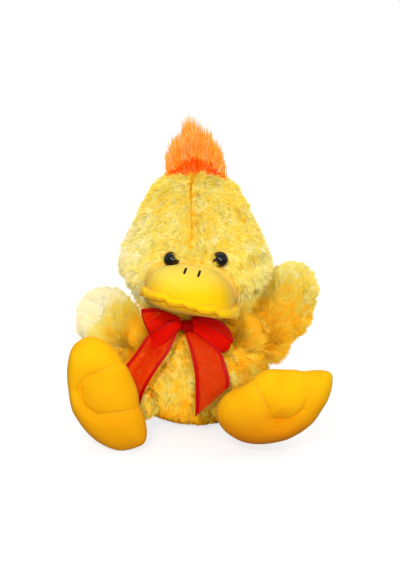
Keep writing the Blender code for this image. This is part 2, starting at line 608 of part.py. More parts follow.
def build_nostril(name, side, head, bill_place, stuff):
    """A short bar of satin stitch on top of the bill."""
    out = math.hypot(side, NOSTRIL_FORWARD)
    turn = math.atan2(side, NOSTRIL_FORWARD)
    edge = float(bill_outline(np.array(turn), 0)) - BILL_LIP_WIDTH
    down = math.asin(out / edge)
    height = BILL_RISE * math.cos(down) ** BILL_DOME_POWER
    fall = BILL_DOME_POWER * height * math.tan(down) / (edge * math.cos(down))
    normal = Vector((fall * math.sin(turn), -fall * math.cos(turn), 1)).normalized()
    ahead = Vector((0, -1, 0))
    ahead = (ahead - normal * ahead.dot(normal)).normalized()
    spot = Vector(with_lip_slope(np.array((side, -NOSTRIL_FORWARD, height)))) + normal * NOSTRIL_RADIUS
    place = bill_place @ frame_of(spot, ahead, normal)
    half = NOSTRIL_LENGTH / 2
    arc = np.linspace(0, np.pi / 2, 4)[1:]
    end = [(NOSTRIL_RADIUS * math.sin(a), half - NOSTRIL_RADIUS * (1 - math.cos(a))) for a in arc]
    start = [(r, -z) for r, z in end]
    profile = [(0, -half), *start, *reversed(end), (0, half)]
    new_object("nostril_stitch_" + name, *turned_skin(profile, 8), stuff["thread"], head, place)


def build_crest(stuff, head, face):
    """The crest: tapering locks of fur, fused where they are rooted and trimmed by the crown."""
    crown = Matrix.Translation((CREST_SIDE, 0, HEAD_HEIGHT - CREST_ROOT_DROP))
    place = in_head(crown)
    locks = []
    for i, (root_share, tip_share, height_share) in enumerate(CREST_LOCK_SHARES):
        tall = CREST_HEIGHT * height_share + CREST_ROOT_DROP
        course = np.linspace(0, 1, 8)
        middle = CREST_HALF_WIDTH * (root_share + (tip_share - root_share) * course ** 1.4)
        radius = CREST_LOCK_RADIUS * (1 - course ** 1.6)
        turn = np.linspace(0, 2 * np.pi, 10, endpoint=False)
        rows = np.stack(np.broadcast_arrays(
            middle[:-1, None] + radius[:-1, None] * np.cos(turn),
            CREST_HALF_DEPTH / CREST_LOCK_RADIUS * radius[:-1, None] * np.sin(turn),
            (tall * course[:-1, None])), axis=-1)
        tip = (middle[-1], 0, tall)
        skin = closed_skin(rows, (middle[0], 0, 0), tip)
        if i:
            locks.append(cutter(f"crest_lock_{i}", *skin, head, place))
        else:
            crest = new_object("crest", *skin, stuff["crest"], head, place)
    for lock in locks:
        joined = crest.modifiers.new("join_" + lock.name, "BOOLEAN")
        joined.operation = "UNION"
        joined.solver = "EXACT"
        joined.object = lock
    cut(crest, face)


def build_limb(name, place, sizes, stuff, sleeve=True):
    """A stuffed limb on its joint: a cover that is open at its root, and the filling inside."""
    joint = empty(name + "_axis", place)
    outer, _, tip = limb(*sizes, 0, LIMB_SIDES, LIMB_RINGS)
    inner, _, inner_tip = limb(*sizes, PILE_WALL, LIMB_SIDES, LIMB_RINGS)
    new_object(name + "_cover", *sleeve_skin(outer, tip, inner, inner_tip), stuff["pile"], joint)
    filling = limb(*sizes, PILE_WALL + GAP, LIMB_SIDES, LIMB_RINGS)
    new_object(name + "_filling", *closed_skin(*filling), stuff["filling"], joint)
    return joint


def build_wings(stuff):
    wing = (WING_LENGTH, WING_ROOT_RADIUS, WING_HALF_WIDTH, WING_HALF_THICKNESS, WING_WIDEST_SHARE)
    for name, side, aim, face in (("wing_left", 1, WING_LEFT_AIM_SHARES, WING_LEFT_FACE_SHARES),
                                  ("wing_right", -1, WING_RIGHT_AIM_SHARES, WING_RIGHT_FACE_SHARES)):
        shoulder = (side * SHOULDER_SIDE, SHOULDER_BACK, SHOULDER_HEIGHT)
        build_limb(name, frame_of(shoulder, aim, face), wing, stuff)


def build_tail(stuff):
    tail = (TAIL_LENGTH, TAIL_ROOT_RADIUS, TAIL_HALF_WIDTH, TAIL_HALF_THICKNESS, TAIL_WIDEST_SHARE)
    lift = math.radians(TAIL_LIFT_DEG)
    place = frame_of((0, TAIL_BACK, TAIL_HEIGHT), (0, math.cos(lift), math.sin(lift)), (0, 0, 1))
    joint = empty("tail_axis", place)
    solid = limb(*tail, 0, LIMB_SIDES, LIMB_RINGS)
    new_object("tail", *closed_skin(*solid), stuff["pile"], joint)


def leg_skin(inset):
    """Rings and poles of a leg along +Z: a hip ball and an ankle ball with a drawn-in length between."""
    hip, ankle = HIP_RADIUS - inset, ANKLE_RADIUS - inset
    hip_waist, ankle_waist = HIP_WAIST - inset, ANKLE_WAIST - inset
    lower = np.linspace(0, np.pi - math.asin(hip_waist / hip), 6)[1:]
    upper = np.linspace(math.pi - math.asin(ankle_waist / ankle), 0, 6)[:-1]
    along = np.concatenate([-hip * np.cos(lower), LEG_LENGTH + ankle * np.cos(upper)])
    radius = np.concatenate([hip * np.sin(lower), ankle * np.sin(upper)])
    turn = np.linspace(0, 2 * np.pi, LIMB_SIDES + 2, endpoint=False)[None, :]
    ring = np.stack(np.broadcast_arrays(
        radius[:, None] * np.cos(turn), radius[:, None] * np.sin(turn), along[:, None]), axis=-1)
    return ring, (0, 0, -hip), (0, 0, LEG_LENGTH + ankle)


def build_leg(name, side, aim, sole, toes, ankle_back, shape, stuff):
    """A leg on its hip, and at its ankle a foot whose sole and toes face as they were given."""
    hip = frame_of((side * HIP_SPREAD, -HIP_FORWARD, HIP_HEIGHT), aim, (0, 0, 1))
    joint = empty(f"leg_{name}_axis", hip)
    outer, _, tip = leg_skin(0)
    inner, _, inner_tip = leg_skin(PILE_WALL / 2)
    new_object(f"leg_{name}_cover", *sleeve_skin(outer, tip, inner, inner_tip), stuff["pile"], joint)
    new_object(f"leg_{name}_filling", *closed_skin(*leg_skin(PILE_WALL / 2 + GAP)), stuff["filling"], joint)

    ankle = hip @ Vector((0, 0, LEG_LENGTH))
    turned = frame_of((0, 0, 0), sole, toes)
    middle = ankle + turned @ Vector((0, ankle_back, FOOT_HALF_THICKNESS + ANKLE_STAND_OFF))
    local_ankle = Matrix.Translation((0, -ankle_back, -FOOT_HALF_THICKNESS - ANKLE_STAND_OFF))
    pivot = empty(f"foot_{name}_axis", hip.inverted() @ Matrix.Translation(middle) @ turned @ local_ankle, joint)
    foot = local_ankle.inverted()
    cover = new_object(
        f"foot_{name}_cover", *closed_skin(*foot_form(shape, 0, FOOT_RINGS)), stuff["velboa"], pivot, foot)
    hollow = cutter(f"foot_{name}_hollow", *closed_skin(*foot_form(shape, SMOOTH_WALL, FOOT_RINGS)), pivot, foot)
    filling = new_object(
        f"foot_{name}_filling", *closed_skin(*foot_form(shape, SMOOTH_WALL + GAP, FOOT_RINGS)),
        stuff["filling"], pivot, foot)
    socket = cutter(f"ankle_socket_{name}", *ball_skin(ANKLE_RADIUS + SOCKET_GAP), pivot)
    cut(cover, hollow, socket)
    cut(filling, socket)


def ribbon_sheet(name, rows, material):
    """A strip of ribbon through rows of points, given its thickness evenly on both sides."""
    count, across = rows.shape[:2]
    faces = [(i * across + j, i * across + j + 1, (i + 1) * across + j + 1, (i + 1) * across + j)
             for i in range(count - 1) for j in range(across - 1)]
    made = new_object(name, rows.reshape(-1, 3), faces, material)
    thick = made.modifiers.new("thickness", "SOLIDIFY")
    thick.thickness = RIBBON_THICKNESS
    thick.offset = 0
    thick.use_even_offset = False
    return made


def build_band(stuff):
    """The part of the ribbon that goes round the neck roll, laid on the torso's shoulders."""
    turn = np.linspace(0, 2 * np.pi, BALL_SIDES + 4, endpoint=False)
    whole = TORSO_HEIGHT + TORSO_SEAT_DROP
    rings = []
    for lift, shares in ((GAP, (BAND_FROM_SHARE, BAND_TO_SHARE)),
                         (GAP + BAND_THICKNESS, (BAND_TO_SHARE, BAND_FROM_SHARE))):
        for share in shares:
            girth = float(smooth_curve(TORSO_SWELL_SHARES, np.array(share))) * 2 * math.sqrt(share * (1 - share))
            x = (TORSO_HALF_WIDTH * girth + GAP + lift) * np.cos(turn)
            y = (TORSO_HALF_DEPTH * girth + GAP + lift) * np.sin(turn) - TORSO_LEAN * share ** 2 + NECK_FORWARD
            clear = np.maximum(1, (NECK_RADIUS + SOCKET_GAP + lift) / np.hypot(x, y))
            z = whole * share - TORSO_SEAT_DROP + GAP + lift
            rings.append(np.stack([x * clear, y * clear - NECK_FORWARD, np.full_like(x, z)], axis=-1))
    sides = len(turn)
    faces = [(i * sides + j, i * sides + (j + 1) % sides, (i + 1) % 4 * sides + (j + 1) % sides,
              (i + 1) % 4 * sides + j) for i in range(4) for j in range(sides)]
    new_object("ribbon_neck_band", np.array(rings).reshape(-1, 3), faces, stuff["ribbon"])


def build_loop(name, aim, knot, stuff):
    """One loop of the bow: the ribbon runs out from the knot in front, folds over and comes back behind."""
    out = Vector(aim).normalized()
    across = Vector((0, 0, 1))
    across = (across - out * across.dot(out)).normalized()
    front = out.cross(across)
    front = front if front.y < 0 else -front
    course = np.linspace(0, 1, 15)
    swing = np.pi * course
    reach = KNOT_HALF_WIDTH + (LOOP_LENGTH - KNOT_HALF_WIDTH) * np.sin(swing) ** 0.8
    depth = LOOP_OPEN * np.cos(swing) * (LOOP_PINCH_SHARE + (1 - LOOP_PINCH_SHARE) * np.sin(swing) ** 0.5)
    wide = RIBBON_WIDTH * (LOOP_GATHER_SHARE + (LOOP_WIDTH_SHARE - LOOP_GATHER_SHARE) * np.sin(swing))
    sides = np.linspace(-0.5, 0.5, 5)
    rows = np.array([[knot + out * float(reach[i]) + front * float(depth[i]) + across * float(wide[i] * s)
                      for s in sides] for i in range(len(course))])
    ribbon_sheet(name, rows, stuff["ribbon"])


def build_ribbon_end(name, shares, inner_side, knot, stuff):
    """One hanging end: gathered at the knot, opening to full width, cut on a slant."""
    course = np.linspace(0, 1, 12)
    middle = smooth_path(shares, course) * (TAIL_RIBBON_LENGTH, -TAIL_RIBBON_LENGTH, -TAIL_RIBBON_LENGTH)
    middle = middle + np.array(knot)
    along = np.gradient(middle, axis=0)
    along /= np.linalg.norm(along, axis=1)[:, None]
    across = np.cross(along, (0, 1, 0))
    across /= np.linalg.norm(across, axis=1)[:, None]
    ahead = np.cross(across, along)
    width = RIBBON_WIDTH * smooth_curve(RIBBON_GATHER_SHARES, course)
    sides = np.linspace(-0.5, 0.5, 7)
    slant = RIBBON_SLANT_SHARE * TAIL_RIBBON_LENGTH * course ** 2
    fold = RIBBON_FOLD * np.sin(course * np.pi)
    rows = (middle[:, None] + across[:, None] * (width[:, None] * sides)[..., None]
            + along[:, None] * (slant[:, None] * sides * inner_side * 2)[..., None]
            + ahead[:, None] * (fold[:, None] * np.cos(sides * 2 * np.pi))[..., None])
    ribbon_sheet(name, rows, stuff["ribbon"])


def build_ribbon(stuff):
    """The tied ribbon: neck band, knot, two loops and two hanging ends."""
    build_band(stuff)
    band_share = (BAND_FROM_SHARE + BAND_TO_SHARE) / 2
    knot_height = (TORSO_HEIGHT + TORSO_SEAT_DROP) * band_share - TORSO_SEAT_DROP + KNOT_RISE
    knot = Vector((KNOT_SIDE, -KNOT_FORWARD, knot_height))
    verts, faces = turned_skin([(math.sin(a), -math.cos(a)) for a in np.linspace(0, np.pi, 9)], 14)
    verts = verts * (KNOT_HALF_WIDTH, KNOT_HALF_DEPTH, KNOT_HALF_HEIGHT)
    new_object("ribbon_knot", verts, faces, stuff["ribbon"], None, Matrix.Translation(knot))
    build_loop("ribbon_loop_left", LOOP_LEFT_AIM_SHARES, knot, stuff)
    build_loop("ribbon_loop_right", LOOP_RIGHT_AIM_SHARES, knot, stuff)
    build_ribbon_end("ribbon_end_left", RIBBON_LEFT_SHARES, -1, knot, stuff)
    build_ribbon_end("ribbon_end_right", RIBBON_RIGHT_SHARES, 1, knot, stuff)


def build_duck():
    for old in list(bpy.data.objects):
        bpy.data.objects.remove(old, do_unlink=True)
    stuff = materials()
    nod, head = build_neck(stuff)
    neck_socket = ball_cutter(
        "neck_socket", NECK_RADIUS + SOCKET_GAP, Matrix.Translation((0, -NECK_FORWARD, NECK_HEIGHT)))
    sockets = [neck_socket]
    for name, at, radius in (
            ("shoulder_left", (SHOULDER_SIDE, SHOULDER_BACK, SHOULDER_HEIGHT), WING_ROOT_RADIUS),
            ("shoulder_right", (-SHOULDER_SIDE, SHOULDER_BACK, SHOULDER_HEIGHT), WING_ROOT_RADIUS),
            ("hip_left", (HIP_SPREAD, -HIP_FORWARD, HIP_HEIGHT), HIP_RADIUS),
            ("hip_right", (-HIP_SPREAD, -HIP_FORWARD, HIP_HEIGHT), HIP_RADIUS),
            ("tail_root", (0, TAIL_BACK, TAIL_HEIGHT), TAIL_ROOT_RADIUS)):
        sockets.append(ball_cutter(name + "_socket", radius + SOCKET_GAP, Matrix.Translation(at)))
    build_torso(stuff, sockets)
    face, eye_rooms = build_head(stuff, head, neck_socket)
    build_bill(stuff, head, face, eye_rooms)
    build_crest(stuff, head, face)
    build_wings(stuff)
    build_tail(stuff)
    build_leg("left", 1, LEG_LEFT_AIM_SHARES, FOOT_LEFT_SOLE_SHARES, FOOT_LEFT_TOE_SHARES, ANKLE_LEFT_BACK,
              (FOOT_LEFT_EDGE_SHARES, FOOT_LEFT_STITCH_SPOKES, FOOT_LEFT_DIMPLE_SHARES), stuff)
    build_leg("right", -1, LEG_RIGHT_AIM_SHARES, FOOT_RIGHT_SOLE_SHARES, FOOT_RIGHT_TOE_SHARES, ANKLE_RIGHT_BACK,
              (FOOT_RIGHT_EDGE_SHARES, FOOT_RIGHT_STITCH_SPOKES, FOOT_RIGHT_DIMPLE_SHARES), stuff)
    build_ribbon(stuff)


build_duck()
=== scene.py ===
"""Looks of the seated plush duck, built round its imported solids.

Metres, +Z up. The duck faces -Y, its left side is +X, and the origin is under its flat seat. Sizes that
repeat those of the solids carry the same values. Every surface below is a function of two parameters
worked out as whole arrays, and the fur is real: tapering strands rooted on the sewn covers."""

import math

import bpy
import numpy as np
from mathutils import Matrix, Vector


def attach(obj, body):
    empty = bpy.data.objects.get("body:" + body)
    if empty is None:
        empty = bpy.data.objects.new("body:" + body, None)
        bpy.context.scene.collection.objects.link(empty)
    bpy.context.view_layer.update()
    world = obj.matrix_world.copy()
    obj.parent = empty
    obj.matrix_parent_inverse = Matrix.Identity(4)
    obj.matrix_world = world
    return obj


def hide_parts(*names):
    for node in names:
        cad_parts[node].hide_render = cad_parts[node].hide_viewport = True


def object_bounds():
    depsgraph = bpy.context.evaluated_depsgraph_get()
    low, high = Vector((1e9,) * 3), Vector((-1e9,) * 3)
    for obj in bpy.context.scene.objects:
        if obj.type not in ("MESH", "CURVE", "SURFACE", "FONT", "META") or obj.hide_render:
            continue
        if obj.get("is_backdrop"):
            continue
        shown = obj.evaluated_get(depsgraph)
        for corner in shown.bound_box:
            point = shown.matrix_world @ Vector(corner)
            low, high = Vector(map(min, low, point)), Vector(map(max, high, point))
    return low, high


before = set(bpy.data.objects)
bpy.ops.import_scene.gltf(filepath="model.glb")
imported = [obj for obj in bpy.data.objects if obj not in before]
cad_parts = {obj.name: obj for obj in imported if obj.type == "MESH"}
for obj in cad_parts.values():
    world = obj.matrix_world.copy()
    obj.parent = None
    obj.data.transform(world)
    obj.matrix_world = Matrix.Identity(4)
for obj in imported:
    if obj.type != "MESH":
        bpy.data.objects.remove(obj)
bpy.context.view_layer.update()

MM = 0.001

# Studio. The duck sits on a seamless white floor under two large soft boxes and a pale sky. The camera is 1.5 m
# away and 12 degrees up, square on to the duck, as in the photograph.

CAMERA_DISTANCE = 1.5
CAMERA_RISE = math.radians(12)
CAMERA_TARGET = Vector((0.004, 0, 0.141))
CAMERA_LENS, SENSOR = 94.74, 36


def linear(colour, strength=1.0):
    """An sRGB hex colour as linear light: a channel c becomes c / 12.92 up to 0.04045, and past that
    (c + 0.055) / 1.055 to the power 2.4."""
    channels = [int(colour[i:i + 2], 16) / 255 for i in (1, 3, 5)]
    return tuple(strength * (c / 12.92 if c <= 0.04045 else ((c + 0.055) / 1.055) ** 2.4) for c in channels) + (1,)


def node(tree, kind, inputs=None, stops=None, **settings):
    """Adds a shader node, gives it its settings, sets each input to a value or links it to an output,
    and gives a colour ramp its stops of (place, colour)."""
    made = tree.nodes.new("ShaderNode" + kind)
    for name, value in settings.items():
        setattr(made, name, value)
    for key, value in (inputs or {}).items():
        if isinstance(value, bpy.types.NodeSocket):
            tree.links.new(value, made.inputs[key])
        else:
            made.inputs[key].default_value = value
    if stops:
        for i, (place, colour) in enumerate(stops):
            stop = made.color_ramp.elements[i] if i < 2 else made.color_ramp.elements.new(place)
            stop.position, stop.color = place, linear(colour)
    return made


def material(name):
    """A new node material without any shader yet, and its tree."""
    made = bpy.data.materials.new(name)
    made.use_nodes = True
    made.node_tree.nodes.clear()
    return made, made.node_tree


def close(tree, shader):
    """Links the last shader to the material's output."""
    node(tree, "OutputMaterial", {"Surface": shader.outputs[0]})


def new_piece(name, points, faces, look, uv=None, closed=True):
    """A smooth mesh at the origin from an array of points and arrays of faces, which may have three or
    four corners each. A closed one whose signed volume, the sum of its triangles' triple products, is
    negative has its faces turned round. uv holds a place for each corner, in the order of the faces."""
    points = np.asarray(points, float)
    groups = [np.asarray(g) for g in (faces if isinstance(faces, list) else [faces])]
    if closed:
        volume = sum(np.einsum("ij,ij->", points[g[:, 0]], np.cross(points[g[:, k]], points[g[:, k + 1]]))
                     for g in groups for k in range(1, g.shape[1] - 1))
        if volume < 0:
            groups = [g[:, ::-1] for g in groups]
    corners = np.concatenate([g.ravel() for g in groups])
    counts = np.concatenate([np.full(len(g), g.shape[1]) for g in groups])
    mesh = bpy.data.meshes.new(name)
    mesh.vertices.add(len(points))
    mesh.vertices.foreach_set("co", points.astype(np.float32).ravel())
    mesh.loops.add(len(corners))
    mesh.loops.foreach_set("vertex_index", corners.astype(np.int32))
    mesh.polygons.add(len(counts))
    mesh.polygons.foreach_set("loop_start", (np.cumsum(counts) - counts).astype(np.int32))
    mesh.update(calc_edges=True)
    if uv is not None:
        layer = mesh.uv_layers.new(name="OFBake")
        layer.uv.foreach_set("vector", np.asarray(uv, np.float32).ravel())
    mesh.shade_smooth()
    mesh.materials.append(look)
    made = bpy.data.objects.new(name, mesh)
    bpy.context.scene.collection.objects.link(made)
    return made


def aimed(thing, spot, target):
    """A lamp or the camera at a spot, looking at a target."""
    made = bpy.data.objects.new(thing.name, thing)
    bpy.context.scene.collection.objects.link(made)
    made.location = spot
    made.rotation_euler = (Vector(target) - Vector(spot)).to_track_quat("-Z", "Y").to_euler()
    return made


lens = bpy.data.cameras.new("camera")
lens.lens, lens.sensor_width, lens.clip_start = CAMERA_LENS, SENSOR, 0.05
behind = Vector((0, -math.cos(CAMERA_RISE), math.sin(CAMERA_RISE)))
bpy.context.scene.camera = aimed(lens, CAMERA_TARGET + CAMERA_DISTANCE * behind, CAMERA_TARGET)
bpy.context.scene.view_settings.view_transform = "Standard"

for name, power, size, spot in (
        ("key_soft_box", 10.4, 0.20, (-0.26, -1.45, 0.95)),
        ("fill_soft_box", 9.8, 0.6, (0.42, -1.60, 0.50)),
        ("top_soft_box", 4.5, 1.3, (0.0, 0.25, 1.5)),
        ("back_soft_box", 7.0, 1.0, (0.15, 1.60, 0.75))):
    lamp = bpy.data.lights.new(name, "AREA")
    lamp.energy, lamp.size, lamp.shape = power, size, "SQUARE"
    aimed(lamp, spot, (0, 0, 0.13))

# The sky lights the duck at half strength, and shows white to the camera and in reflections.
sky = bpy.data.worlds.new("studio_sky")
bpy.context.scene.world = sky
sky.use_nodes = True
tree = sky.node_tree
tree.nodes.clear()
path = node(tree, "LightPath")
seen = node(tree, "Math", {0: path.outputs["Is Camera Ray"], 1: path.outputs["Is Glossy Ray"]}, operation="MAXIMUM")
seen = node(tree, "Math", {0: seen.outputs[0], 1: path.outputs["Is Transmission Ray"]}, operation="MAXIMUM")
pale = node(tree, "Background", {"Color": linear("#FFFFFF"), "Strength": 0.42})
white = node(tree, "Background", {"Color": linear("#FFFFFF"), "Strength": 1.0})
both = node(tree, "MixShader", {0: seen.outputs[0], 1: pale.outputs[0], 2: white.outputs[0]})
node(tree, "OutputWorld", {"Surface": both.outputs[0]})

# The floor is white vinyl. To the camera it glows enough to read as white paper: less close to the duck, where
# it keeps a soft shadow, and fully from half a metre away.
vinyl, tree = material("white_vinyl_floor")
path = node(tree, "LightPath")
matt = node(tree, "BsdfDiffuse", {"Color": linear("#A8A8A8")})
dim = node(tree, "BsdfDiffuse", {"Color": linear("#A0A0A0")})
place = node(tree, "TexCoord")
away = node(tree, "VectorMath", {0: place.outputs["Object"]}, operation="LENGTH")
level = node(tree, "MapRange", {"Value": away.outputs["Value"], "From Min": 0.12, "From Max": 0.50,
                                "To Min": 0.74, "To Max": 1.0})
glow = node(tree, "Emission", {"Color": linear("#FFFFFF"), "Strength": level.outputs[0]})
lit = node(tree, "AddShader", {0: dim.outputs[0], 1: glow.outputs[0]})
close(tree, node(tree, "MixShader", {0: path.outputs["Is Camera Ray"], 1: matt.outputs[0], 2: lit.outputs[0]}))
HALF_FLOOR = 4.0
corners = np.array([(-1, -1, 0), (1, -1, 0), (1, 1, 0), (-1, 1, 0)]) * (HALF_FLOOR, HALF_FLOOR, 0)
floor = new_piece("studio_floor", corners, np.array([(0, 1, 2, 3)]), vinyl, closed=False)
floor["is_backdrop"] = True

# Torso. A pear-shaped bag of long-pile polyester plush over fibre filling, with a tummy panel set in between two
# side panels. Its nap runs down, and the seams show as partings in the fur.

BACKING = 0.0062  # the knitted backing lies this far inside the tips of the fur
TORSO_HEIGHT, TORSO_HALF_WIDTH, TORSO_HALF_DEPTH = 0.118, 0.075, 0.062
TORSO_SEAT_DROP, TORSO_LEAN = 0.009, 0.010
TORSO_SWELL = ((0.0, 0.92), (0.15, 1.0), (0.38, 1.03), (0.55, 0.98),
               (0.70, 0.89), (0.80, 0.87), (0.90, 0.97), (1.0, 1.15))
TORSO_SEAM_DEG, TORSO_SEAM_HALF_DEG, TORSO_SEAM_DEPTH = 51.4, 7.0, 0.0022  # from the front round to each seam


def smooth_curve(pairs, at):
    """Values on a smooth curve through (place, value) pairs: cubics whose slope at each pair is the mean
    slope of its neighbours."""
    x, y = (np.array(column, float) for column in zip(*pairs))
    slope = np.gradient(y, x)
    i = np.clip(np.searchsorted(x, at) - 1, 0, len(x) - 2)
    wide = x[i + 1] - x[i]
    t = (at - x[i]) / wide
    start = y[i] * (1 + 2 * t) * (1 - t) ** 2 + slope[i] * wide * t * (1 - t) ** 2
    return start + y[i + 1] * t * t * (3 - 2 * t) - slope[i + 1] * wide * t * t * (1 - t)


def pear(height, half_width, half_depth, swell, u, v, inset):
    """A point of an upright stuffed form. u runs up it from 0 to 1 and v once round it: the point of an
    ellipsoid whose girth is multiplied by a smooth curve of its height, taken in by inset."""
    share = (1 - np.cos(np.pi * u)) / 2
    girth = smooth_curve(swell, share) * np.sin(np.pi * u)
    return np.stack([(half_width - inset) * girth * np.cos(2 * np.pi * v),
                     (half_depth - inset) * girth * np.sin(2 * np.pi * v),
                     inset + (height - 2 * inset) * share], axis=-1)


def torso_form(u, v, inset=BACKING):
    """The torso: a pear that is drawn in along both edges of its tummy panel by a bell curve of the turn,
    whose middle leans forward with the square of its height, pressed flat below."""
    whole = TORSO_HEIGHT + TORSO_SEAT_DROP
    p = pear(whole, TORSO_HALF_WIDTH, TORSO_HALF_DEPTH, TORSO_SWELL, u, v, inset)
    around = np.degrees(np.arctan2(np.abs(p[..., 0]), -p[..., 1]))
    seam = np.exp(-((around - TORSO_SEAM_DEG) / TORSO_SEAM_HALF_DEG) ** 2)
    p[..., :2] *= 1 - TORSO_SEAM_DEPTH / TORSO_HALF_WIDTH * seam[..., None]
    p[..., 1] -= TORSO_LEAN * (p[..., 2] / whole) ** 2
    p[..., 2] = np.maximum(p[..., 2] - TORSO_SEAT_DROP, 0.0015 + 0.3 * inset)
    return p


def closed_form(form, rows, sides, inset=BACKING):
    """Points and faces of a closed surface: rings of form at even steps of u, and a pole at each end."""
    u = np.linspace(0, 1, rows + 2)[1:-1, None]
    v = np.linspace(0, 1, sides, endpoint=False)[None, :]
    rings = form(*np.broadcast_arrays(u, v), inset)
    poles = [form(np.array([end]), np.array([0.0]), inset)[0] for end in (0.0, 1.0)]
    points = np.concatenate([rings.reshape(-1, 3), poles])
    i, j = np.meshgrid(np.arange(rows - 1), np.arange(sides), indexing="ij")
    k = (j + 1) % sides
    quads = np.stack([i * sides + j, i * sides + k, (i + 1) * sides + k, (i + 1) * sides + j], -1).reshape(-1, 4)
    j = np.arange(sides)
    k = (j + 1) % sides
    low = np.stack([np.full(sides, rows * sides), k, j], -1)
    high = np.stack([np.full(sides, rows * sides + 1), (rows - 1) * sides + j, (rows - 1) * sides + k], -1)
    return points, [quads, np.concatenate([low, high])]


def scattered(form, count, seed, inset=BACKING):
    """Places spread evenly over a form: random u and v, each kept with a chance in proportion to the
    patch it stands for, the length of the cross product of the form's two slopes. Returns the points
    and their outward normals."""
    rng = np.random.default_rng(seed)
    u, v = rng.uniform(0.003, 0.996, 6 * count), rng.uniform(0, 1, 6 * count)
    step = 0.002
    here = form(u, v, inset)
    cross = np.cross(form(u, v + step, inset) - here, form(u + step, v, inset) - here)
    area = np.linalg.norm(cross, axis=-1)
    kept = np.flatnonzero(rng.uniform(0, 1, len(area)) < area / np.quantile(area, 0.995))[:count]
    return here[kept], cross[kept] / area[kept, None]


def wander(p, length, seed):
    """A smooth random field with three values, mostly from -1 to 1, at each point: a sum of ten sine
    waves in random directions whose lengths are about the one given."""
    rng = np.random.default_rng(seed)
    heading = rng.normal(size=(10, 3))
    heading *= (2 * np.pi / length * rng.uniform(0.6, 1.5, 10) / np.linalg.norm(heading, axis=1))[:, None]
    phase = rng.uniform(0, 2 * np.pi, (10, 3))
    return np.sin((p @ heading.T)[:, :, None] + phase).sum(axis=1) / math.sqrt(10)


def unit(a):
    return a / np.maximum(np.linalg.norm(a, axis=-1, keepdims=True), 1e-9)


def fur(name, body, root, normal, lay, length, tone, look, tuft=28, spread=0.0032, lean=1.0,
        width=0.00062, gather=0.40, stray=0.12, knees=(), avoid=None, shadow=True, seed=1):
    """Tufts of fur as one mesh. Each tuft's strands are rooted at random within spread of its root, lean
    from the normal towards the lay by the angle given, and draw together at their tips by the share gather.
    A strand is a curve with two straight handles, root, knee and tip, and carries a flat three-sided section
    that faces out from the cloth and tapers from width to a point. The map's u holds the strand's tone and v
    its course from root to tip."""
    rng = np.random.default_rng(seed)
    count = len(root)
    lay = unit(lay - normal * (lay * normal).sum(-1, keepdims=True))
    side = np.cross(normal, lay)
    lean = np.broadcast_to(np.asarray(lean, float), (count,))[:, None]
    turn, out = rng.uniform(0, 2 * np.pi, (count, tuft)), spread * np.sqrt(rng.uniform(0, 1, (count, tuft)))
    base = root[:, None] + (out * np.cos(turn))[..., None] * lay[:, None] + (out * np.sin(turn))[..., None] * side[:, None]
    long = np.asarray(length)[:, None] * rng.uniform(0.72, 1.12, (count, tuft))
    angle = lean * rng.uniform(0.75, 1.25, (count, tuft))
    heading = normal[:, None] * np.cos(angle)[..., None] + lay[:, None] * np.sin(angle)[..., None]
    heading = unit(heading + stray * rng.normal(size=base.shape))
    tip = root[:, None] * gather + base * (1 - gather) + heading * long[..., None]
    knee = 0.5 * (base + tip) + 0.10 * long[..., None] * normal[:, None]
    face = np.broadcast_to(normal[:, None], base.shape) + 0.32 * rng.normal(size=base.shape)
    base, knee, tip, face = (a.reshape(-1, 3) for a in (base, knee, tip, face))
    shade = (np.asarray(tone)[:, None] + 0.05 * rng.normal(size=(count, 1)) + 0.05 * rng.normal(size=(count, tuft))).ravel()
    at = np.array([0.0, *knees])
    line = ((1 - at) ** 2)[:, None, None] * base + (2 * at * (1 - at))[:, None, None] * knee + (at ** 2)[:, None, None] * tip
    ahead = unit((1 - at)[:, None, None] * (knee - base) + at[:, None, None] * (tip - knee))
    if avoid is not None:
        free = ~(avoid(line[-1]) | avoid(tip) | avoid(0.5 * (line[-1] + tip)))
        line, ahead, tip, shade, face = line[:, free], ahead[:, free], tip[free], shade[free], face[free]
    across = unit(np.cross(ahead, face[None]))
    other = np.cross(across, ahead)
    thick = width * (1 - at ** 1.5 * 0.72)[:, None, None]
    corner = np.array([1, 5, 9]) * np.pi / 6
    ring = (line[:, :, None] + (thick * np.cos(corner))[..., None] * across[:, :, None]
            + (0.5 * thick * np.sin(corner))[..., None] * other[:, :, None])
    strands, levels = len(tip), len(at)
    points = np.concatenate([ring.transpose(1, 0, 2, 3).reshape(strands, levels * 3, 3), tip[:, None]], axis=1)
    each = levels * 3 + 1
    quads = np.array([(3 * r + j, 3 * r + (j + 1) % 3, 3 * r + 3 + (j + 1) % 3, 3 * r + 3 + j)
                      for r in range(levels - 1) for j in range(3)], int).reshape(-1, 4)
    ends = np.array([(2, 1, 0)] + [(3 * levels - 3 + j, 3 * levels - 3 + (j + 1) % 3, 3 * levels) for j in range(3)])
    first = (np.arange(strands) * each)[:, None, None]
    u = np.clip(shade, 0.03, 0.97)[:, None]
    places = np.array([0, 1, 2, 0])  # which side of the strand a corner is on
    v_at = np.append(np.repeat(at, 3), 1.0) * 0.94 + 0.03
    sides = np.append(np.tile((-0.012, 0, 0.012), levels), 0.0)
    v_at[0] += 0.02
    corners_u = [(u + sides[f.ravel()][None, :]) for f in (quads, ends)]
    uv = [np.stack(np.broadcast_arrays(cu, v_at[f.ravel()][None, :]), -1).reshape(-1, 2)
          for cu, f in zip(corners_u, (quads, ends))]
    faces = [(first + f).reshape(-1, f.shape[1]) for f in (quads, ends) if len(f)]
    made = new_piece(name, points.reshape(-1, 3), faces, look, np.concatenate(uv))
    made.data.shade_flat()
    made.visible_shadow = shadow
    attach(made, body)
    return made


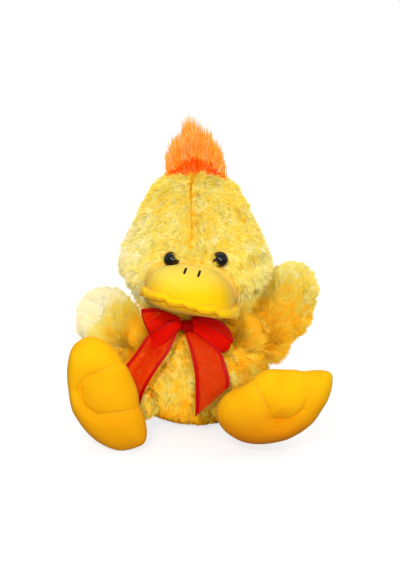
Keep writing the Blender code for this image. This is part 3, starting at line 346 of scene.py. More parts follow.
# Long-pile plush: dyed polyester fibre, deep gold at the backing and bleached to cream at its tips. Each
# fibre is matt and lets some light through, which gives the soft, glowing edge.
def plush(name, roots, tips, full=0.62):
    """Fur whose colour is read from its own map: v runs from the root's colour to the tip's, which it
    reaches at the share full, and u picks both from a row of tones."""
    made, tree = material(name)
    place = node(tree, "UVMap", uv_map="OFBake")
    split = node(tree, "SeparateXYZ", {0: place.outputs[0]})
    low = node(tree, "ValToRGB", {0: split.outputs[0]}, stops=roots)
    high = node(tree, "ValToRGB", {0: split.outputs[0]}, stops=tips)
    course = node(tree, "MapRange", {"Value": split.outputs[1], "From Min": 0.05, "From Max": full},
                  interpolation_type="SMOOTHSTEP")
    colour = node(tree, "Mix", {0: course.outputs[0], 6: low.outputs[0], 7: high.outputs[0]}, data_type="RGBA")
    solid = node(tree, "BsdfPrincipled", {"Base Color": colour.outputs[2], "Roughness": 0.8,
                                          "Specular IOR Level": 0.05})
    thin = node(tree, "BsdfTranslucent", {"Color": low.outputs[0]})
    close(tree, node(tree, "MixShader", {0: 0.17, 1: solid.outputs[0], 2: thin.outputs[0]}))
    return made


yellow_plush = plush(
    "long_pile_polyester_plush",
    ((0.0, "#FCB000"), (0.25, "#FCCE14"), (0.5, "#F0DA4C"), (0.75, "#F0E48C"), (1.0, "#F8F0D4")),
    ((0.0, "#FCC810"), (0.25, "#FAE248"), (0.5, "#F0EC88"), (0.75, "#F4F2C0"), (1.0, "#FCFCF2")))

# The backing with its short undercoat: mottled gold knit, seen only in the partings.
knit, tree = material("knitted_plush_backing")
place = node(tree, "TexCoord")
mottle = node(tree, "TexNoise", {"Vector": place.outputs["Object"], "Scale": 160.0, "Detail": 4.0, "Roughness": 0.6})
colour = node(tree, "ValToRGB", {0: mottle.outputs[0]}, stops=((0.3, "#F4C030"), (0.7, "#FFE068")))
pits = node(tree, "Bump", {"Strength": 0.6, "Distance": 0.0008, "Height": mottle.outputs[0]})
close(tree, node(tree, "BsdfPrincipled", {"Base Color": colour.outputs[0], "Roughness": 0.95,
                                          "Sheen Weight": 0.3, "Normal": pits.outputs[0]}))


def stuffed(name, body, form, rows, sides, fill, *nodes, look=knit, inset=BACKING, slot="yellow_pile"):
    """A closed stuffed skin on a body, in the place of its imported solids."""
    made = new_piece(name, *closed_form(form, rows, sides, inset), look)
    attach(made, body)
    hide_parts(*nodes)
    return made


CLUMP = 3  # tufts in a clump


def grown(name, body, form, count, seed, lay, length, tone, part=None, lean=1.0, **how):
    """Fur over a form in two coats: a short dense one that shades itself, and over it a longer one whose
    fibres are too fine to throw a shadow. lay, length and tone are functions of the roots and their normals,
    and part, where given, says which roots belong to this panel. The fur cakes into clumps as worn plush does:
    each root leans towards the tip of the nearest clump's middle, is shorter the further it is from it, and
    shares the clump's own turn and tone."""
    root, normal = scattered(form, count, seed)
    if part is not None:
        mine = part(root, normal)
        root, normal = root[mine], normal[mine]
    rng = np.random.default_rng(seed + 7)
    middle = root[::CLUMP]
    nearest = np.argmin((root ** 2).sum(1)[:, None] - 2 * root @ middle.T + (middle ** 2).sum(1), axis=1)
    off = root - middle[nearest]
    way = unit(lay(root, normal))[::CLUMP][nearest] + 0.26 * rng.normal(size=(len(middle), 3))[nearest]
    way = way * 0.0085 - 0.7 * off
    long = length(root, normal) * (1.10 - 0.22 * np.clip(np.linalg.norm(off, axis=1) / 0.0030, 0, 1) ** 2)
    cast = tone(root, normal) + 0.055 * rng.normal(size=len(middle))[nearest]
    lean = lean(root, normal) if callable(lean) else lean
    for coat, tuft, share, low, shadow in (("under", 9, 0.68, 0.10, True), ("over", 19, 1.0, 0.0, False)):
        made = fur(f"{name}_{coat}coat", body, root, normal, way, share * long,
                   cast - low, yellow_plush, tuft=tuft, lean=lean, shadow=shadow,
                   seed=seed + 100 * shadow, **how)


stuffed("torso_plush", "torso", torso_form, 40, 72, 0.7, "torso_cover", "torso_filling", "pellet_bag")


def seam_off(p):
    """How far a torso point lies from the nearer edge of the tummy panel, with its side, in metres along
    the cloth: the angle from the seam times the distance from the middle."""
    middle = p[:, 1] + 0.004
    off = np.degrees(np.arctan2(np.abs(p[:, 0]), -middle)) - TORSO_SEAM_DEG
    return np.radians(off) * np.sign(p[:, 0]) * np.hypot(p[:, 0], middle)


def torso_lay(p, n):
    """Down, turned by a slow swirl, and away from the seams close to them."""
    off = seam_off(p)
    around = unit(np.stack([-p[:, 1], p[:, 0], np.zeros(len(p))], -1))
    away = np.sign(off) * np.exp(-(off / 0.006) ** 2)
    return np.array((0, 0, -1.0)) + 0.75 * wander(p, 0.034, 11) + 0.9 * away[:, None] * around


def torso_length(p, n):
    """Longest on the sides, clipped at the seams, and pressed flat under the seat, the bow and the ribbon
    behind the neck."""
    off = seam_off(p)
    bow = np.exp(-((p[:, 0] + 0.008) / 0.048) ** 4 - ((p[:, 2] - 0.085) / 0.045) ** 4) * (p[:, 1] < 0)
    seat = np.clip((n[:, 2] + 1) / 0.5, 0.12, 1)
    shoulder = np.clip((p[:, 2] - 0.080) / 0.02, 0, 1) * (np.abs(p[:, 0]) > 0.02)
    seat = seat * (1 - 0.75 * np.clip((p[:, 1] - 0.005) / 0.01, 0, 1) * np.clip((p[:, 2] - 0.090) / 0.008, 0, 1))
    return (0.0105 + 0.0065 * shoulder) * (1 - 0.35 * np.exp(-(off / 0.003) ** 2)) * (1 - 0.45 * bow) * seat


def torso_tone(p, n):
    """Pale on the tummy and gold in the partings. Deeper gold on the sides, most on the right side, lowest down
    and under the head, is painted shade.
    """
    off = seam_off(p)
    low = np.clip(1 - p[:, 2] / 0.045, 0, 1)
    high = np.clip((p[:, 2] - 0.075) / 0.02, 0, 1)
    return (0.43 + 0.06 * wander(p, 0.020, 12)[:, 0] + 0.06 * wander(p, 0.007, 13)[:, 0] - 0.36 * low - 0.20 * high
            - 0.30 * np.exp(-(off / 0.003) ** 2) - 0.12 * np.clip((np.abs(p[:, 0]) - 0.03) / 0.02, 0, 1)
            - 0.36 * np.clip((-p[:, 0] - 0.03) / 0.02, 0, 1))


def torso_lean(p, n):
    """Lying down, but standing up on the shoulders, where it fills the crease under the head."""
    return 1.0 - 0.75 * np.clip((p[:, 2] - 0.082) / 0.016, 0, 1) * (np.abs(p[:, 0]) > 0.02)


def off_the_floor(p):
    return p[:, 2] < 0.0006


for name, part in (
        ("torso_fur_tummy", lambda p, n: (p[:, 1] < 0) & (np.abs(np.degrees(np.arctan2(p[:, 0], -p[:, 1]))) < 40)),
        ("torso_fur_left", lambda p, n: (p[:, 0] > 0) & (np.degrees(np.arctan2(p[:, 0], -p[:, 1])) >= 40)),
        ("torso_fur_right", lambda p, n: (p[:, 0] <= 0) & (np.degrees(np.arctan2(-p[:, 0], -p[:, 1])) >= 40))):
    grown(name, "torso", torso_form, 3000, 21, torso_lay, torso_length, torso_tone, part, lean=torso_lean,
          avoid=off_the_floor)

# Longer tufts left standing on both shoulders fill the crease between the cheeks and the wings
grown("torso_fur_shoulders", "torso", torso_form, 9000, 28,
      lambda p, n: np.array((0, -0.2, 1.0)) + 0.5 * wander(p, 0.02, 16), lambda p, n: np.full(len(p), 0.021),
      lambda p, n: 0.30 + 0.10 * wander(p, 0.01, 17)[:, 0],
      lambda p, n: (np.abs(p[:, 0]) > 0.036) & (p[:, 2] > 0.078) & (p[:, 1] < 0.02) & (p[:, 1] > -0.03), lean=0.25)

# Neck. A stuffed roll of the same plush between torso and head, which nods and turns on it. It only shows as
# fur in the crease.

NECK_RADIUS, NECK_HEIGHT, NECK_FORWARD = 0.034, 0.107, 0.009


def neck_form(u, v, inset=0.001):
    """A ball, taken in by inset."""
    rise, turn = np.pi * u, 2 * np.pi * v
    ball = np.stack([np.sin(rise) * np.cos(turn), np.sin(rise) * np.sin(turn), -0.86 * np.cos(rise)], -1)
    return (NECK_RADIUS - inset) * ball + (0, -NECK_FORWARD, NECK_HEIGHT)


stuffed("neck_plush", "neck", neck_form, 20, 40, 0.6, "neck_roll", inset=0.001)
# Its deep gold tone is painted shade for the crease it lies in
grown("neck_fur", "neck", neck_form, 900, 25, lambda p, n: np.array((0, 0, -1.0)) + 0.5 * wander(p, 0.02, 26),
      lambda p, n: 0.0125 + 0.006 * (np.abs(p[:, 0]) > 0.02), lambda p, n: 0.16 + 0.10 * wander(p, 0.01, 27)[:, 0],
      lambda p, n: np.abs(n[:, 2]) < 0.75, lean=0.35)

# Head. Two side panels of the same plush meet on a seam from the crown to the bill, where the fur parts. The
# cheeks are stuffed full, and the pile swirls round them.

HEAD_BASE, HEAD_HEIGHT, HEAD_HALF_WIDTH, HEAD_HALF_DEPTH, HEAD_FORWARD = 0.109, 0.152, 0.077, 0.064, 0.012
HEAD_SWELL = ((0.0, 1.04), (0.08, 1.08), (0.20, 1.08), (0.34, 1.05), (0.44, 0.98),
              (0.56, 0.885), (0.67, 0.82), (0.77, 0.80), (0.87, 0.83), (1.0, 0.96))
PARTING_SIDE, PARTING_DEPTH, PARTING_WIDTH = -0.004, 0.0030, 0.0080  # the seam down the forehead
EYE_SPREAD, EYE_HEIGHT, EYE_RADIUS = 0.0238, 0.181, 0.0075


def head_form(u, v, inset=BACKING):
    """The head: a pear standing over the torso, drawn in down its forehead by a bell curve."""
    p = pear(HEAD_HEIGHT, HEAD_HALF_WIDTH, HEAD_HALF_DEPTH, HEAD_SWELL, u, v, inset)
    up = np.clip((p[..., 2] / HEAD_HEIGHT - 0.42) / 0.10, 0, 1) * (p[..., 1] < 0)
    p[..., 1] += PARTING_DEPTH * up * np.exp(-((p[..., 0] - PARTING_SIDE) / PARTING_WIDTH) ** 2)
    return p + (0, -HEAD_FORWARD, HEAD_BASE)


stuffed("head_plush", "head", head_form, 44, 72, 0.8, "head_cover", "head_filling")

BILL_HALF_WIDTH, BILL_REACH, BILL_RISE, BILL_DROP = 0.0485, 0.054, 0.035, 0.0125
BILL_LIP_WIDTH, BILL_LIP_OVER, BILL_LIP_UNDER = 0.0068, 0.0052, 0.0020
BILL_TURN = (Matrix.Rotation(math.radians(-9), 4, "Z") @ Matrix.Rotation(math.radians(5), 4, "Y")
             @ Matrix.Rotation(math.radians(-6), 4, "X"))
BILL_PLACE = Matrix.Translation((-0.005, -0.062, 0.1405)) @ BILL_TURN
BILL_SLOPE, BILL_CORNER, BILL_DOME = 0.14, 2.5, 0.62


def moved(place, p):
    """Points carried by a placing matrix."""
    m = np.array(place)
    return p @ m[:3, :3].T + m[:3, 3]


def bill_edge(turn):
    """How far the bill's edge is from its middle, by the turn from straight ahead: a rounded rectangle,
    the sum of both shares to the power 2.5."""
    return ((np.abs(np.sin(turn)) / BILL_HALF_WIDTH) ** BILL_CORNER
            + (np.abs(np.cos(turn)) / BILL_REACH) ** BILL_CORNER) ** (-1 / BILL_CORNER)


def in_bill(p):
    """Whether points lie inside the bill: below its domed panel, above its lower one and within its edge."""
    q = moved(BILL_PLACE.inverted(), p)
    far = np.hypot(q[:, 0], q[:, 1])
    high = q[:, 2] + BILL_SLOPE * q[:, 0] * np.clip(np.hypot(q[:, 0] / BILL_HALF_WIDTH, q[:, 1] / BILL_REACH), 0, 1) ** 2
    share = np.clip(far / (bill_edge(np.arctan2(q[:, 0], -q[:, 1])) - 0.003), 0, 1)
    dome = np.sqrt(1 - share ** 2)
    return (share < 1) & (high < BILL_RISE * dome ** BILL_DOME + 0.0012) & (high > -BILL_DROP * dome ** BILL_DOME - 0.0012)


def eye_off(p):
    """How far head points lie from the nearer eye's middle in the face, and the way out from it."""
    off = np.stack([p[:, [0, 2]] - (s * EYE_SPREAD, EYE_HEIGHT) for s in (1, -1)])
    far = np.where(p[:, 1] < -0.02, np.linalg.norm(off, axis=-1), 1.0)
    nearest = far.argmin(0)
    row = np.arange(len(p))
    out = off[nearest, row]
    return far[nearest, row], unit(np.stack([out[:, 0], np.zeros(len(p)), out[:, 1]], -1))


def parting(p):
    """How far forehead points lie from the seam, with their side. It runs down the front of the head."""
    return np.where((p[:, 1] < -0.012) & (p[:, 2] > EYE_HEIGHT + 0.007), p[:, 0] - PARTING_SIDE, 1.0)


def head_lay(p, n):
    """Down and outwards from the seam, round the cheeks, swirled, and away from the eyes."""
    off = parting(p)
    far, out = eye_off(p)
    cheek = np.clip((0.185 - p[:, 2]) / 0.03, 0, 1)
    side = np.sign(p[:, 0])[:, None] * np.array((1.0, 0, 0))
    fall = np.array((0, 0, -1.0)) + 0.25 * side + 0.55 * cheek[:, None] * side
    aside = (np.sign(off) * np.exp(-(off / 0.006) ** 2))[:, None] * np.array((1.0, 0, 0))
    near = np.exp(-((far - EYE_RADIUS) / 0.007) ** 2)[:, None]
    return fall + (0.35 + 0.55 * cheek)[:, None] * wander(p, 0.030, 31) + 1.2 * aside + 1.6 * near * out


def head_length(p, n):
    """Short at the seam and round the eyes, longest on the cheeks."""
    far, _ = eye_off(p)
    near = np.exp(-((far - EYE_RADIUS) / 0.006) ** 2)
    upper = np.clip((p[:, 2] - 0.165) / 0.02, 0, 1)
    side = 1 - upper * np.clip(p[:, 0] / 0.06, -0.3, 1) * 0.32
    seam = 1 - 0.45 * np.exp(-(parting(p) / 0.0035) ** 2)
    hanging = 1 + 1.0 * np.clip((0.140 - p[:, 2]) / 0.018, 0, 1) * (np.abs(p[:, 0]) > 0.025)
    return (0.0100 + 0.0014 * wander(p, 0.02, 33)[:, 0]) * seam * side * hanging * (1 - 0.40 * near)


def head_tone(p, n):
    """Pale yellow with slow clouds of gold, gold along the seam and above the bill, and paler on the lower cheeks.
    Paler towards both sides is painted light at the outline; deeper gold low in front, under the bill, is painted
    shade.
    """
    return (0.58 + 0.05 * wander(p, 0.022, 32)[:, 0] + 0.06 * wander(p, 0.007, 34)[:, 0]
            + 0.20 * np.clip((np.abs(p[:, 0]) - 0.040) / 0.025, 0, 1)
            + 0.12 * np.clip((0.160 - p[:, 2]) / 0.030, 0, 1) - 0.34 * np.clip((0.140 - p[:, 2]) / 0.014, 0, 1) * (np.abs(p[:, 0]) < 0.056)
            - 0.05 * np.clip(p[:, 0] / 0.06, -1, 1) - 0.50 * np.exp(-(parting(p) / 0.0013) ** 2)
            - 0.22 * np.exp(-((p[:, 0] + 0.004) / 0.034) ** 2 - ((p[:, 2] - 0.168) / 0.014) ** 2) * (p[:, 1] < 0))


def head_clear(p):
    """Where no strand of the head goes: into the bill or over the eyes, but for a few tufts that fall across
    their inner edges."""
    spot = np.stack([np.abs(p[:, 0]) - EYE_SPREAD - 0.0010, p[:, 2] - EYE_HEIGHT], -1)
    return in_bill(p) | ((np.linalg.norm(spot, axis=-1) < EYE_RADIUS - 0.0012) & (p[:, 1] < -0.03))


def eye_free(p):
    """Roots that are clear of both eyes."""
    return eye_off(p)[0] > EYE_RADIUS + 0.0006


for name, part in (
        ("head_fur_face_left", lambda p, n: (p[:, 0] > PARTING_SIDE) & (p[:, 1] < -0.030) & eye_free(p)),
        ("head_fur_face_right", lambda p, n: (p[:, 0] <= PARTING_SIDE) & (p[:, 1] < -0.030) & eye_free(p)),
        ("head_fur_left", lambda p, n: (p[:, 0] > PARTING_SIDE) & (p[:, 1] >= -0.030)),
        ("head_fur_right", lambda p, n: (p[:, 0] <= PARTING_SIDE) & (p[:, 1] >= -0.030))):
    grown(name, "head", head_form, 4600, 41, head_lay, head_length, head_tone, part, avoid=head_clear)

# The seam of the forehead: a row of short gold tufts down the bottom of the parting
u = np.linspace(0.61, 0.93, 48)
seam = head_form(u, np.full(len(u), 0.75)) + (PARTING_SIDE, 0, 0)
seam[:, 0] += 0.0009 * wander(seam, 0.025, 46)[:, 0]
over = unit(np.cross((1.0, 0, 0), np.gradient(seam, axis=0)))
parted = fur("head_parting", "head", seam, over, np.array((0, 0, -1.0)) + 0.25 * wander(seam, 0.006, 47),
             np.full(len(u), 0.0080), 0.34 + 0.10 * wander(seam, 0.008, 48)[:, 0], yellow_plush, tuft=14, spread=0.0010, lean=0.45,
             gather=0.2, stray=0.10, shadow=False, seed=49)

# Crest. Long fur cloth in orange, rolled and sewn into the crown. Its locks stand up and gather into points.

CREST_HALF_WIDTH, CREST_HALF_DEPTH, CREST_HEIGHT, CREST_SIDE = 0.0265, 0.009, 0.0495, -0.001
CREST_BASE = HEAD_BASE + HEAD_HEIGHT - 0.006
# Each lock: its root, its tip and its height as shares of the crest's half width and height
CREST_LOCKS = ((-0.80, -1.02, 0.40), (-0.68, -0.88, 0.58), (-0.52, -0.68, 0.74), (-0.38, -0.47, 0.87),
               (-0.22, -0.30, 0.97), (-0.06, -0.18, 1.10), (0.06, -0.02, 1.01), (0.20, 0.14, 0.93),
               (0.34, 0.34, 0.86), (0.48, 0.54, 0.78), (0.62, 0.74, 0.66), (0.78, 0.90, 0.50), (0.90, 1.02, 0.30))

orange_fur = plush(
    "long_orange_fur",
    ((0.0, "#E84000"), (0.5, "#F05C00"), (1.0, "#F67800")),
    ((0.0, "#F0A408"), (0.4, "#F6BE24"), (0.8, "#FADA8C"), (1.0, "#FCF0D0")), 0.85)


def crest_form(u, v, inset=0.0):
    """The fur's rolled root: a low mound across the crown."""
    rise, turn = np.pi * u, 2 * np.pi * v
    return np.stack([CREST_SIDE + 0.86 * CREST_HALF_WIDTH * np.sin(rise) * np.cos(turn),
                     -HEAD_FORWARD + 0.75 * CREST_HALF_DEPTH * np.sin(rise) * np.sin(turn),
                     CREST_BASE + 0.004 - 0.013 * np.cos(rise)], -1)


core, tree = material("orange_fur_backing")
place = node(tree, "TexCoord")
mottle = node(tree, "TexNoise", {"Vector": place.outputs["Object"], "Scale": 220.0, "Detail": 3.0})
colour = node(tree, "ValToRGB", {0: mottle.outputs[0]}, stops=((0.3, "#D83800"), (0.7, "#FF7A10")))
close(tree, node(tree, "BsdfPrincipled", {"Base Color": colour.outputs[0], "Roughness": 0.95, "Sheen Weight": 0.3}))
stuffed("crest_root", "head", crest_form, 16, 32, 0.5, "crest", look=core, inset=0.0, slot="orange_fur")

rng = np.random.default_rng(51)
TUFTS_PER_LOCK = 54
table = np.repeat(np.array(CREST_LOCKS), TUFTS_PER_LOCK, axis=0)
many = len(table)
place = table[:, 0] + 0.07 * rng.normal(size=many)
depth = rng.uniform(-1, 1, many)
root = np.stack([CREST_SIDE + CREST_HALF_WIDTH * place, -HEAD_FORWARD + CREST_HALF_DEPTH * depth,
                 np.full(many, CREST_BASE) - 0.006 * place ** 2], -1)
tall = CREST_HEIGHT * table[:, 2] * rng.uniform(0.42, 1.04, many) * (1 - 0.15 * np.abs(depth)) + 0.006
end = np.stack([CREST_SIDE + CREST_HALF_WIDTH * (table[:, 1] + 0.35 * (place - table[:, 0])),
                -HEAD_FORWARD + 0.55 * CREST_HALF_DEPTH * depth, root[:, 2] + tall], -1)
heading = end - root
length = np.linalg.norm(heading, axis=1)
crest_fur = fur("crest_fur", "head", root, unit(heading), np.tile((0, -1.0, 0), (many, 1)), length,
                0.5 + 0.2 * rng.normal(size=many), orange_fur, tuft=11, spread=0.0020, lean=0.03, width=0.00055,
                gather=0.80, stray=0.075, knees=(0.35, 0.7), shadow=False, seed=52)

# Wings. Each is a flat stuffed paddle of plush, sewn on at its round root, so that it swings there. The right
# # wing's pile turns to cream at its outer edge and top, painted light; the left wing's is deepest orange at its root,
# painted shade.

WING_LENGTH, WING_ROOT, WING_HALF_WIDTH, WING_HALF_THICKNESS, WING_WIDEST = 0.092, 0.0205, 0.0325, 0.0165, 0.42
WING_TIP_POWER = 2.3
SHOULDER_SIDE, SHOULDER_BACK, SHOULDER_HEIGHT = 0.0725, 0.014, 0.077


def placed(origin, z_axis, y_axis):
    """A placing matrix from where local Z points and roughly where local Y points."""
    z = Vector(z_axis).normalized()
    x = Vector(y_axis).cross(z).normalized()
    return Matrix.Translation(Vector(origin)) @ Matrix((x, z.cross(x), z)).transposed().to_4x4()


def limb(length, root, half_width, half_thickness, widest, place):
    """A function for a stuffed limb: a round root that swells by a smooth step to the widest share of
    its length, then closes in a blunt ellipse, carried to its place."""
    def form(u, v, inset=BACKING):
        ball, long = root - inset, length - inset
        wide = widest * long
        arc = np.clip(u / 0.3, 0, 1) * np.pi / 2
        swell = np.clip((u - 0.3) / 0.3, 0, 1)
        shut = np.clip((u - 0.6) / 0.4, 0, 1) * np.pi / 2
        blunt = 2 / WING_TIP_POWER
        ease = swell * swell * (3 - 2 * swell)
        along = -ball * np.cos(arc) * (u < 0.3) + wide * swell + (long - wide) * np.sin(shut) ** blunt
        across, thick = (
            np.where(u < 0.3, ball * np.sin(arc), np.where(u < 0.6, ball + (side - inset - ball) * ease,
                     (side - inset) * np.maximum(np.cos(shut), 0) ** blunt))
            for side in (half_width, half_thickness))
        local = np.stack([across * np.cos(2 * np.pi * v), thick * np.sin(2 * np.pi * v), along], -1)
        return moved(place, local)
    return form


def in_torso(p, margin=0.004):
    """Whether points lie inside the torso, taken in by a margin."""
    whole = TORSO_HEIGHT + TORSO_SEAT_DROP
    share = np.clip((p[:, 2] + TORSO_SEAT_DROP) / whole, 1e-4, 1 - 1e-4)
    girth = 2 * np.sqrt(share * (1 - share)) * smooth_curve(TORSO_SWELL, share)
    x = p[:, 0] / ((TORSO_HALF_WIDTH - margin) * girth)
    y = (p[:, 1] + TORSO_LEAN * share ** 2) / ((TORSO_HALF_DEPTH - margin) * girth)
    return (x ** 2 + y ** 2 < 1) & (p[:, 2] < TORSO_HEIGHT)


WING_AIMS = (("left", 1, (0.40, 0.27, 0.88), (0.10, -0.95, 0.24)), ("right", -1, (-0.46, 0.80, 0.39), (-0.45, -0.59, 0.67)))
for name, side, aim, face in WING_AIMS:
    place = placed((side * SHOULDER_SIDE, SHOULDER_BACK, SHOULDER_HEIGHT), aim, face)
    form = limb(WING_LENGTH, WING_ROOT, WING_HALF_WIDTH, WING_HALF_THICKNESS, WING_WIDEST, place)
    back = place.inverted()
    stuffed(f"wing_{name}_plush", "wing_" + name, form, 40, 48, 0.55, f"wing_{name}_cover", f"wing_{name}_filling")

    def wing_lay(p, n):
        """From root to tip, opening towards the edges, with a slow swirl."""
        local = moved(back, p)
        local = np.stack([1.1 * local[:, 0], 0.3 * local[:, 1], np.full(len(p), 0.035)], -1) / 0.035
        return local @ np.array(place)[:3, :3].T + 0.45 * wander(p, 0.028, 61)

    def wing_length(p, n):
        """Short at the tip, and longest round the root, where it hides the crease under the head."""
        share = moved(back, p)[:, 2] / WING_LENGTH
        tip, root = np.clip((share - 0.6) / 0.3, 0, 1), np.clip(1 - share / 0.35, 0, 1)
        return (0.0105 + 0.0013 * wander(p, 0.02, 62)[:, 0]) * (1 - 0.40 * tip) * (1 + 0.7 * root * (n[:, 2] > 0))

    def wing_lean(p, n):
        """Lying towards the tip, but standing up at the root."""
        share = moved(back, p)[:, 2] / WING_LENGTH
        return 0.9 - 0.6 * np.clip(1 - share / 0.4, 0, 1) * (n[:, 2] > 0)

    # The left wing deepens towards its root, painted shade under the head; the right wing pales towards its outer edge
    # and top, painted light
    def wing_tone(p, n):
        share = np.clip(moved(back, p)[:, 2] / WING_LENGTH, 0, 1)
        cloud = 0.07 * wander(p, 0.020, 63)[:, 0] + 0.07 * wander(p, 0.007, 65)[:, 0]
        if side > 0:
            return 0.28 + 0.52 * share ** 1.5 + cloud
        pale = np.clip((-p[:, 0] - 0.070) / 0.045, 0, 1) + np.clip((p[:, 2] - 0.085) / 0.05, 0, 1)
        return 0.26 + 0.80 * np.clip(pale, 0, 1.1) + 0.6 * cloud

    grown(f"wing_{name}_fur", "wing_" + name, form, 1500, 64 + side, wing_lay, wing_length, wing_tone,
          lambda p, n: ~in_torso(p, 0.006), lean=wing_lean, avoid=off_the_floor)

# Tail. A short stuffed point of plush at the back, sewn on at its root and turned up.

place = placed((0, 0.0635, 0.046), (0, math.cos(math.radians(38)), math.sin(math.radians(38))), (0, 0, 1))
form = limb(0.040, 0.0125, 0.0155, 0.0100, 0.35, place)
stuffed("tail_plush", "torso", lambda u, v, inset: form(u, v, 0.55 * inset), 24, 32, 0.6, "tail")
grown("tail_fur", "torso", lambda u, v, inset: form(u, v, 0.55 * inset), 300, 71,
      lambda p, n: np.array((0, 0.8, 0.4)) + 0.4 * wander(p, 0.02, 72),
      lambda p, n: np.full(len(p), 0.010), lambda p, n: 0.45 + 0.15 * wander(p, 0.02, 73)[:, 0],
      lambda p, n: ~in_torso(p, 0.006), spread=0.0022, lean=0.9)

# Legs. Short stuffed tubes of plush, drawn in where they are sewn to the torso and to the feet.

LEG_LENGTH, HIP_RADIUS, HIP_WAIST, ANKLE_RADIUS, ANKLE_WAIST = 0.038, 0.020, 0.012, 0.0155, 0.0105
HIP_SPREAD, HIP_FORWARD, HIP_HEIGHT = 0.053, 0.047, 0.036


def leg(place):
    """A function for a leg: a hip ball and an ankle ball, each an arc of a circle as far as its waist."""
    def form(u, v, inset=BACKING):
        hip, ankle = HIP_RADIUS - inset, ANKLE_RADIUS - inset
        low = math.pi - math.asin((HIP_WAIST - inset) / hip)
        high = math.pi - math.asin((ANKLE_WAIST - inset) / ankle)
        a, b = low * np.clip(2 * u, 0, 1), high * np.clip(2 - 2 * u, 0, 1)
        first = u < 0.5
        along = np.where(first, -hip * np.cos(a), LEG_LENGTH + ankle * np.cos(b))
        far = np.where(first, hip * np.sin(a), ankle * np.sin(b))
        return moved(place, np.stack([far * np.cos(2 * np.pi * v), far * np.sin(2 * np.pi * v), along], -1))
    return form


LEG_AIMS = (("left", 1, (0.62, -0.78, 0.05)), ("right", -1, (-0.80, -0.56, 0.425)))
for name, side, aim in LEG_AIMS:
    hip = placed((side * HIP_SPREAD, -HIP_FORWARD, HIP_HEIGHT), aim, (0, 0, 1))
    form = leg(hip)
    stuffed(f"leg_{name}_plush", "leg_" + name, form, 24, 32, 0.6, f"leg_{name}_cover", f"leg_{name}_filling", inset=0.004)
    grown(f"leg_{name}_fur", "leg_" + name, lambda u, v, inset: form(u, v, 0.004), 420, 81 + side,
          lambda p, n: np.array(aim) * 0.6 + np.array((0, 0, -0.6)) + 0.4 * wander(p, 0.02, 83),
          lambda p, n: np.full(len(p), 0.0065), lambda p, n: 0.40 + 0.15 * wander(p, 0.02, 84)[:, 0],
          lambda p, n: ~in_torso(p, 0.004), spread=0.0022, lean=0.9, avoid=off_the_floor)

# Feet. Broad pillows of orange velboa, a smooth short-pile knit, stuffed firm. Two rows of topstitching run in
# from between the toes and draw the pillow together, and a crease joins them near the heel.

FOOT_HALF_WIDTH, FOOT_HALF_LENGTH, FOOT_HALF_THICKNESS, FOOT_EDGE_POWER = 0.057, 0.035, 0.0205, 2.3
ANKLE_STAND_OFF = 0.006
STITCH_PITCH, STITCH_LONG, STITCH_THICK = 0.0022, 0.0015, 0.00032
# Each foot: its side, leg, toes and sole, how far its ankle is behind its middle, how full its edge is by the
# turn from the middle toe in half turns, its dimple and its two rows of stitches in millimetres
FEET = (
    ("left", 1, (0.62, -0.78, 0.05), (0.06, -0.99, 0.10), (-0.28, 0.04, 0.96), 0.004,
     ((-1.0, 0.92), (-0.75, 0.91), (-0.65, 0.92), (-0.55, 0.97), (-0.44, 1.025), (-0.34, 1.045),
      (-0.25, 1.025), (-0.15, 0.93), (0.0, 1.075), (0.11, 0.96), (0.23, 0.945), (0.36, 1.095),
      (0.44, 1.005), (0.55, 0.885), (0.67, 0.79), (0.83, 0.825), (1.0, 0.92)), (-1.5, -9.4),
     (((-16, 31.5), (-12.7, 17.8), (-9.6, 3.4), (-10.1, -4.8), (-1.5, -9.4)),
      ((34.3, 28.8), (32.7, 19.4), (30.1, 4.3), (22.4, -5.9), (7.8, -11), (-1.5, -9.4)))),
    ("right", -1, (-0.80, -0.56, 0.425), (-0.06, -0.99, 0.08), (0.91, 0.02, 0.41), -0.005,
     ((-1.0, 0.93), (-0.84, 0.835), (-0.69, 0.88), (-0.54, 1.02), (-0.36, 1.075), (-0.27, 1.06),
      (-0.21, 1.03), (-0.08, 0.97), (0.03, 0.94), (0.13, 0.885), (0.22, 0.97), (0.34, 1.065),
      (0.43, 1.005), (0.55, 0.95), (0.68, 0.885), (0.84, 0.885), (1.0, 0.93)), (-16.9, -16.1),
     (((-24.4, 31), (-25.4, 19.9), (-26.4, -1.6), (-22.9, -11.1), (-16.9, -16.1)),
      ((22.1, 29), (17.1, 9.9), (10.5, -9.1), (-2.9, -17.1), (-16.9, -16.1)))))


def foot_place(side, aim, sole, toes, back):
    """Where a foot lies: its ankle is at the leg's end, and its sole and toes face as given."""
    hip = placed((side * HIP_SPREAD, -HIP_FORWARD, HIP_HEIGHT), aim, (0, 0, 1))
    turned = placed((0, 0, 0), sole, toes)
    middle = hip @ Vector((0, 0, LEG_LENGTH)) + turned @ Vector((0, back, FOOT_HALF_THICKNESS + ANKLE_STAND_OFF))
    return Matrix.Translation(middle) @ turned


def to_line(x, y, line):
    """The distance of flat points from a line of straight runs, and the share of the line at which each
    is nearest: the least over its runs."""
    line = np.array(line, float) * MM
    best, share = np.full(x.shape, 1.0), np.zeros(x.shape)
    for i, (a, b) in enumerate(zip(line[:-1], line[1:])):
        run = b - a
        t = np.clip(((x - a[0]) * run[0] + (y - a[1]) * run[1]) / (run @ run), 0, 1)
        far = np.hypot(x - a[0] - t * run[0], y - a[1] - t * run[1])
        share = np.where(far < best, (i + t) / (len(line) - 1), share)
        best = np.minimum(best, far)
    return best, share


def foot_height(x, y, lines, inset):
    """Half the pillow's thickness: drawn in along each line of stitches by a narrow crease in a broad one,
    both deeper towards the dimple."""
    drawn = np.ones(x.shape)
    for line in lines:
        far, share = to_line(x, y, line)
        drawn *= 1 - (0.07 + 0.11 * share) * np.exp(-(far / 0.0090) ** 2) - (0.08 + 0.03 * share) * np.exp(-(far / 0.0018) ** 2)
    return (FOOT_HALF_THICKNESS - inset) * drawn


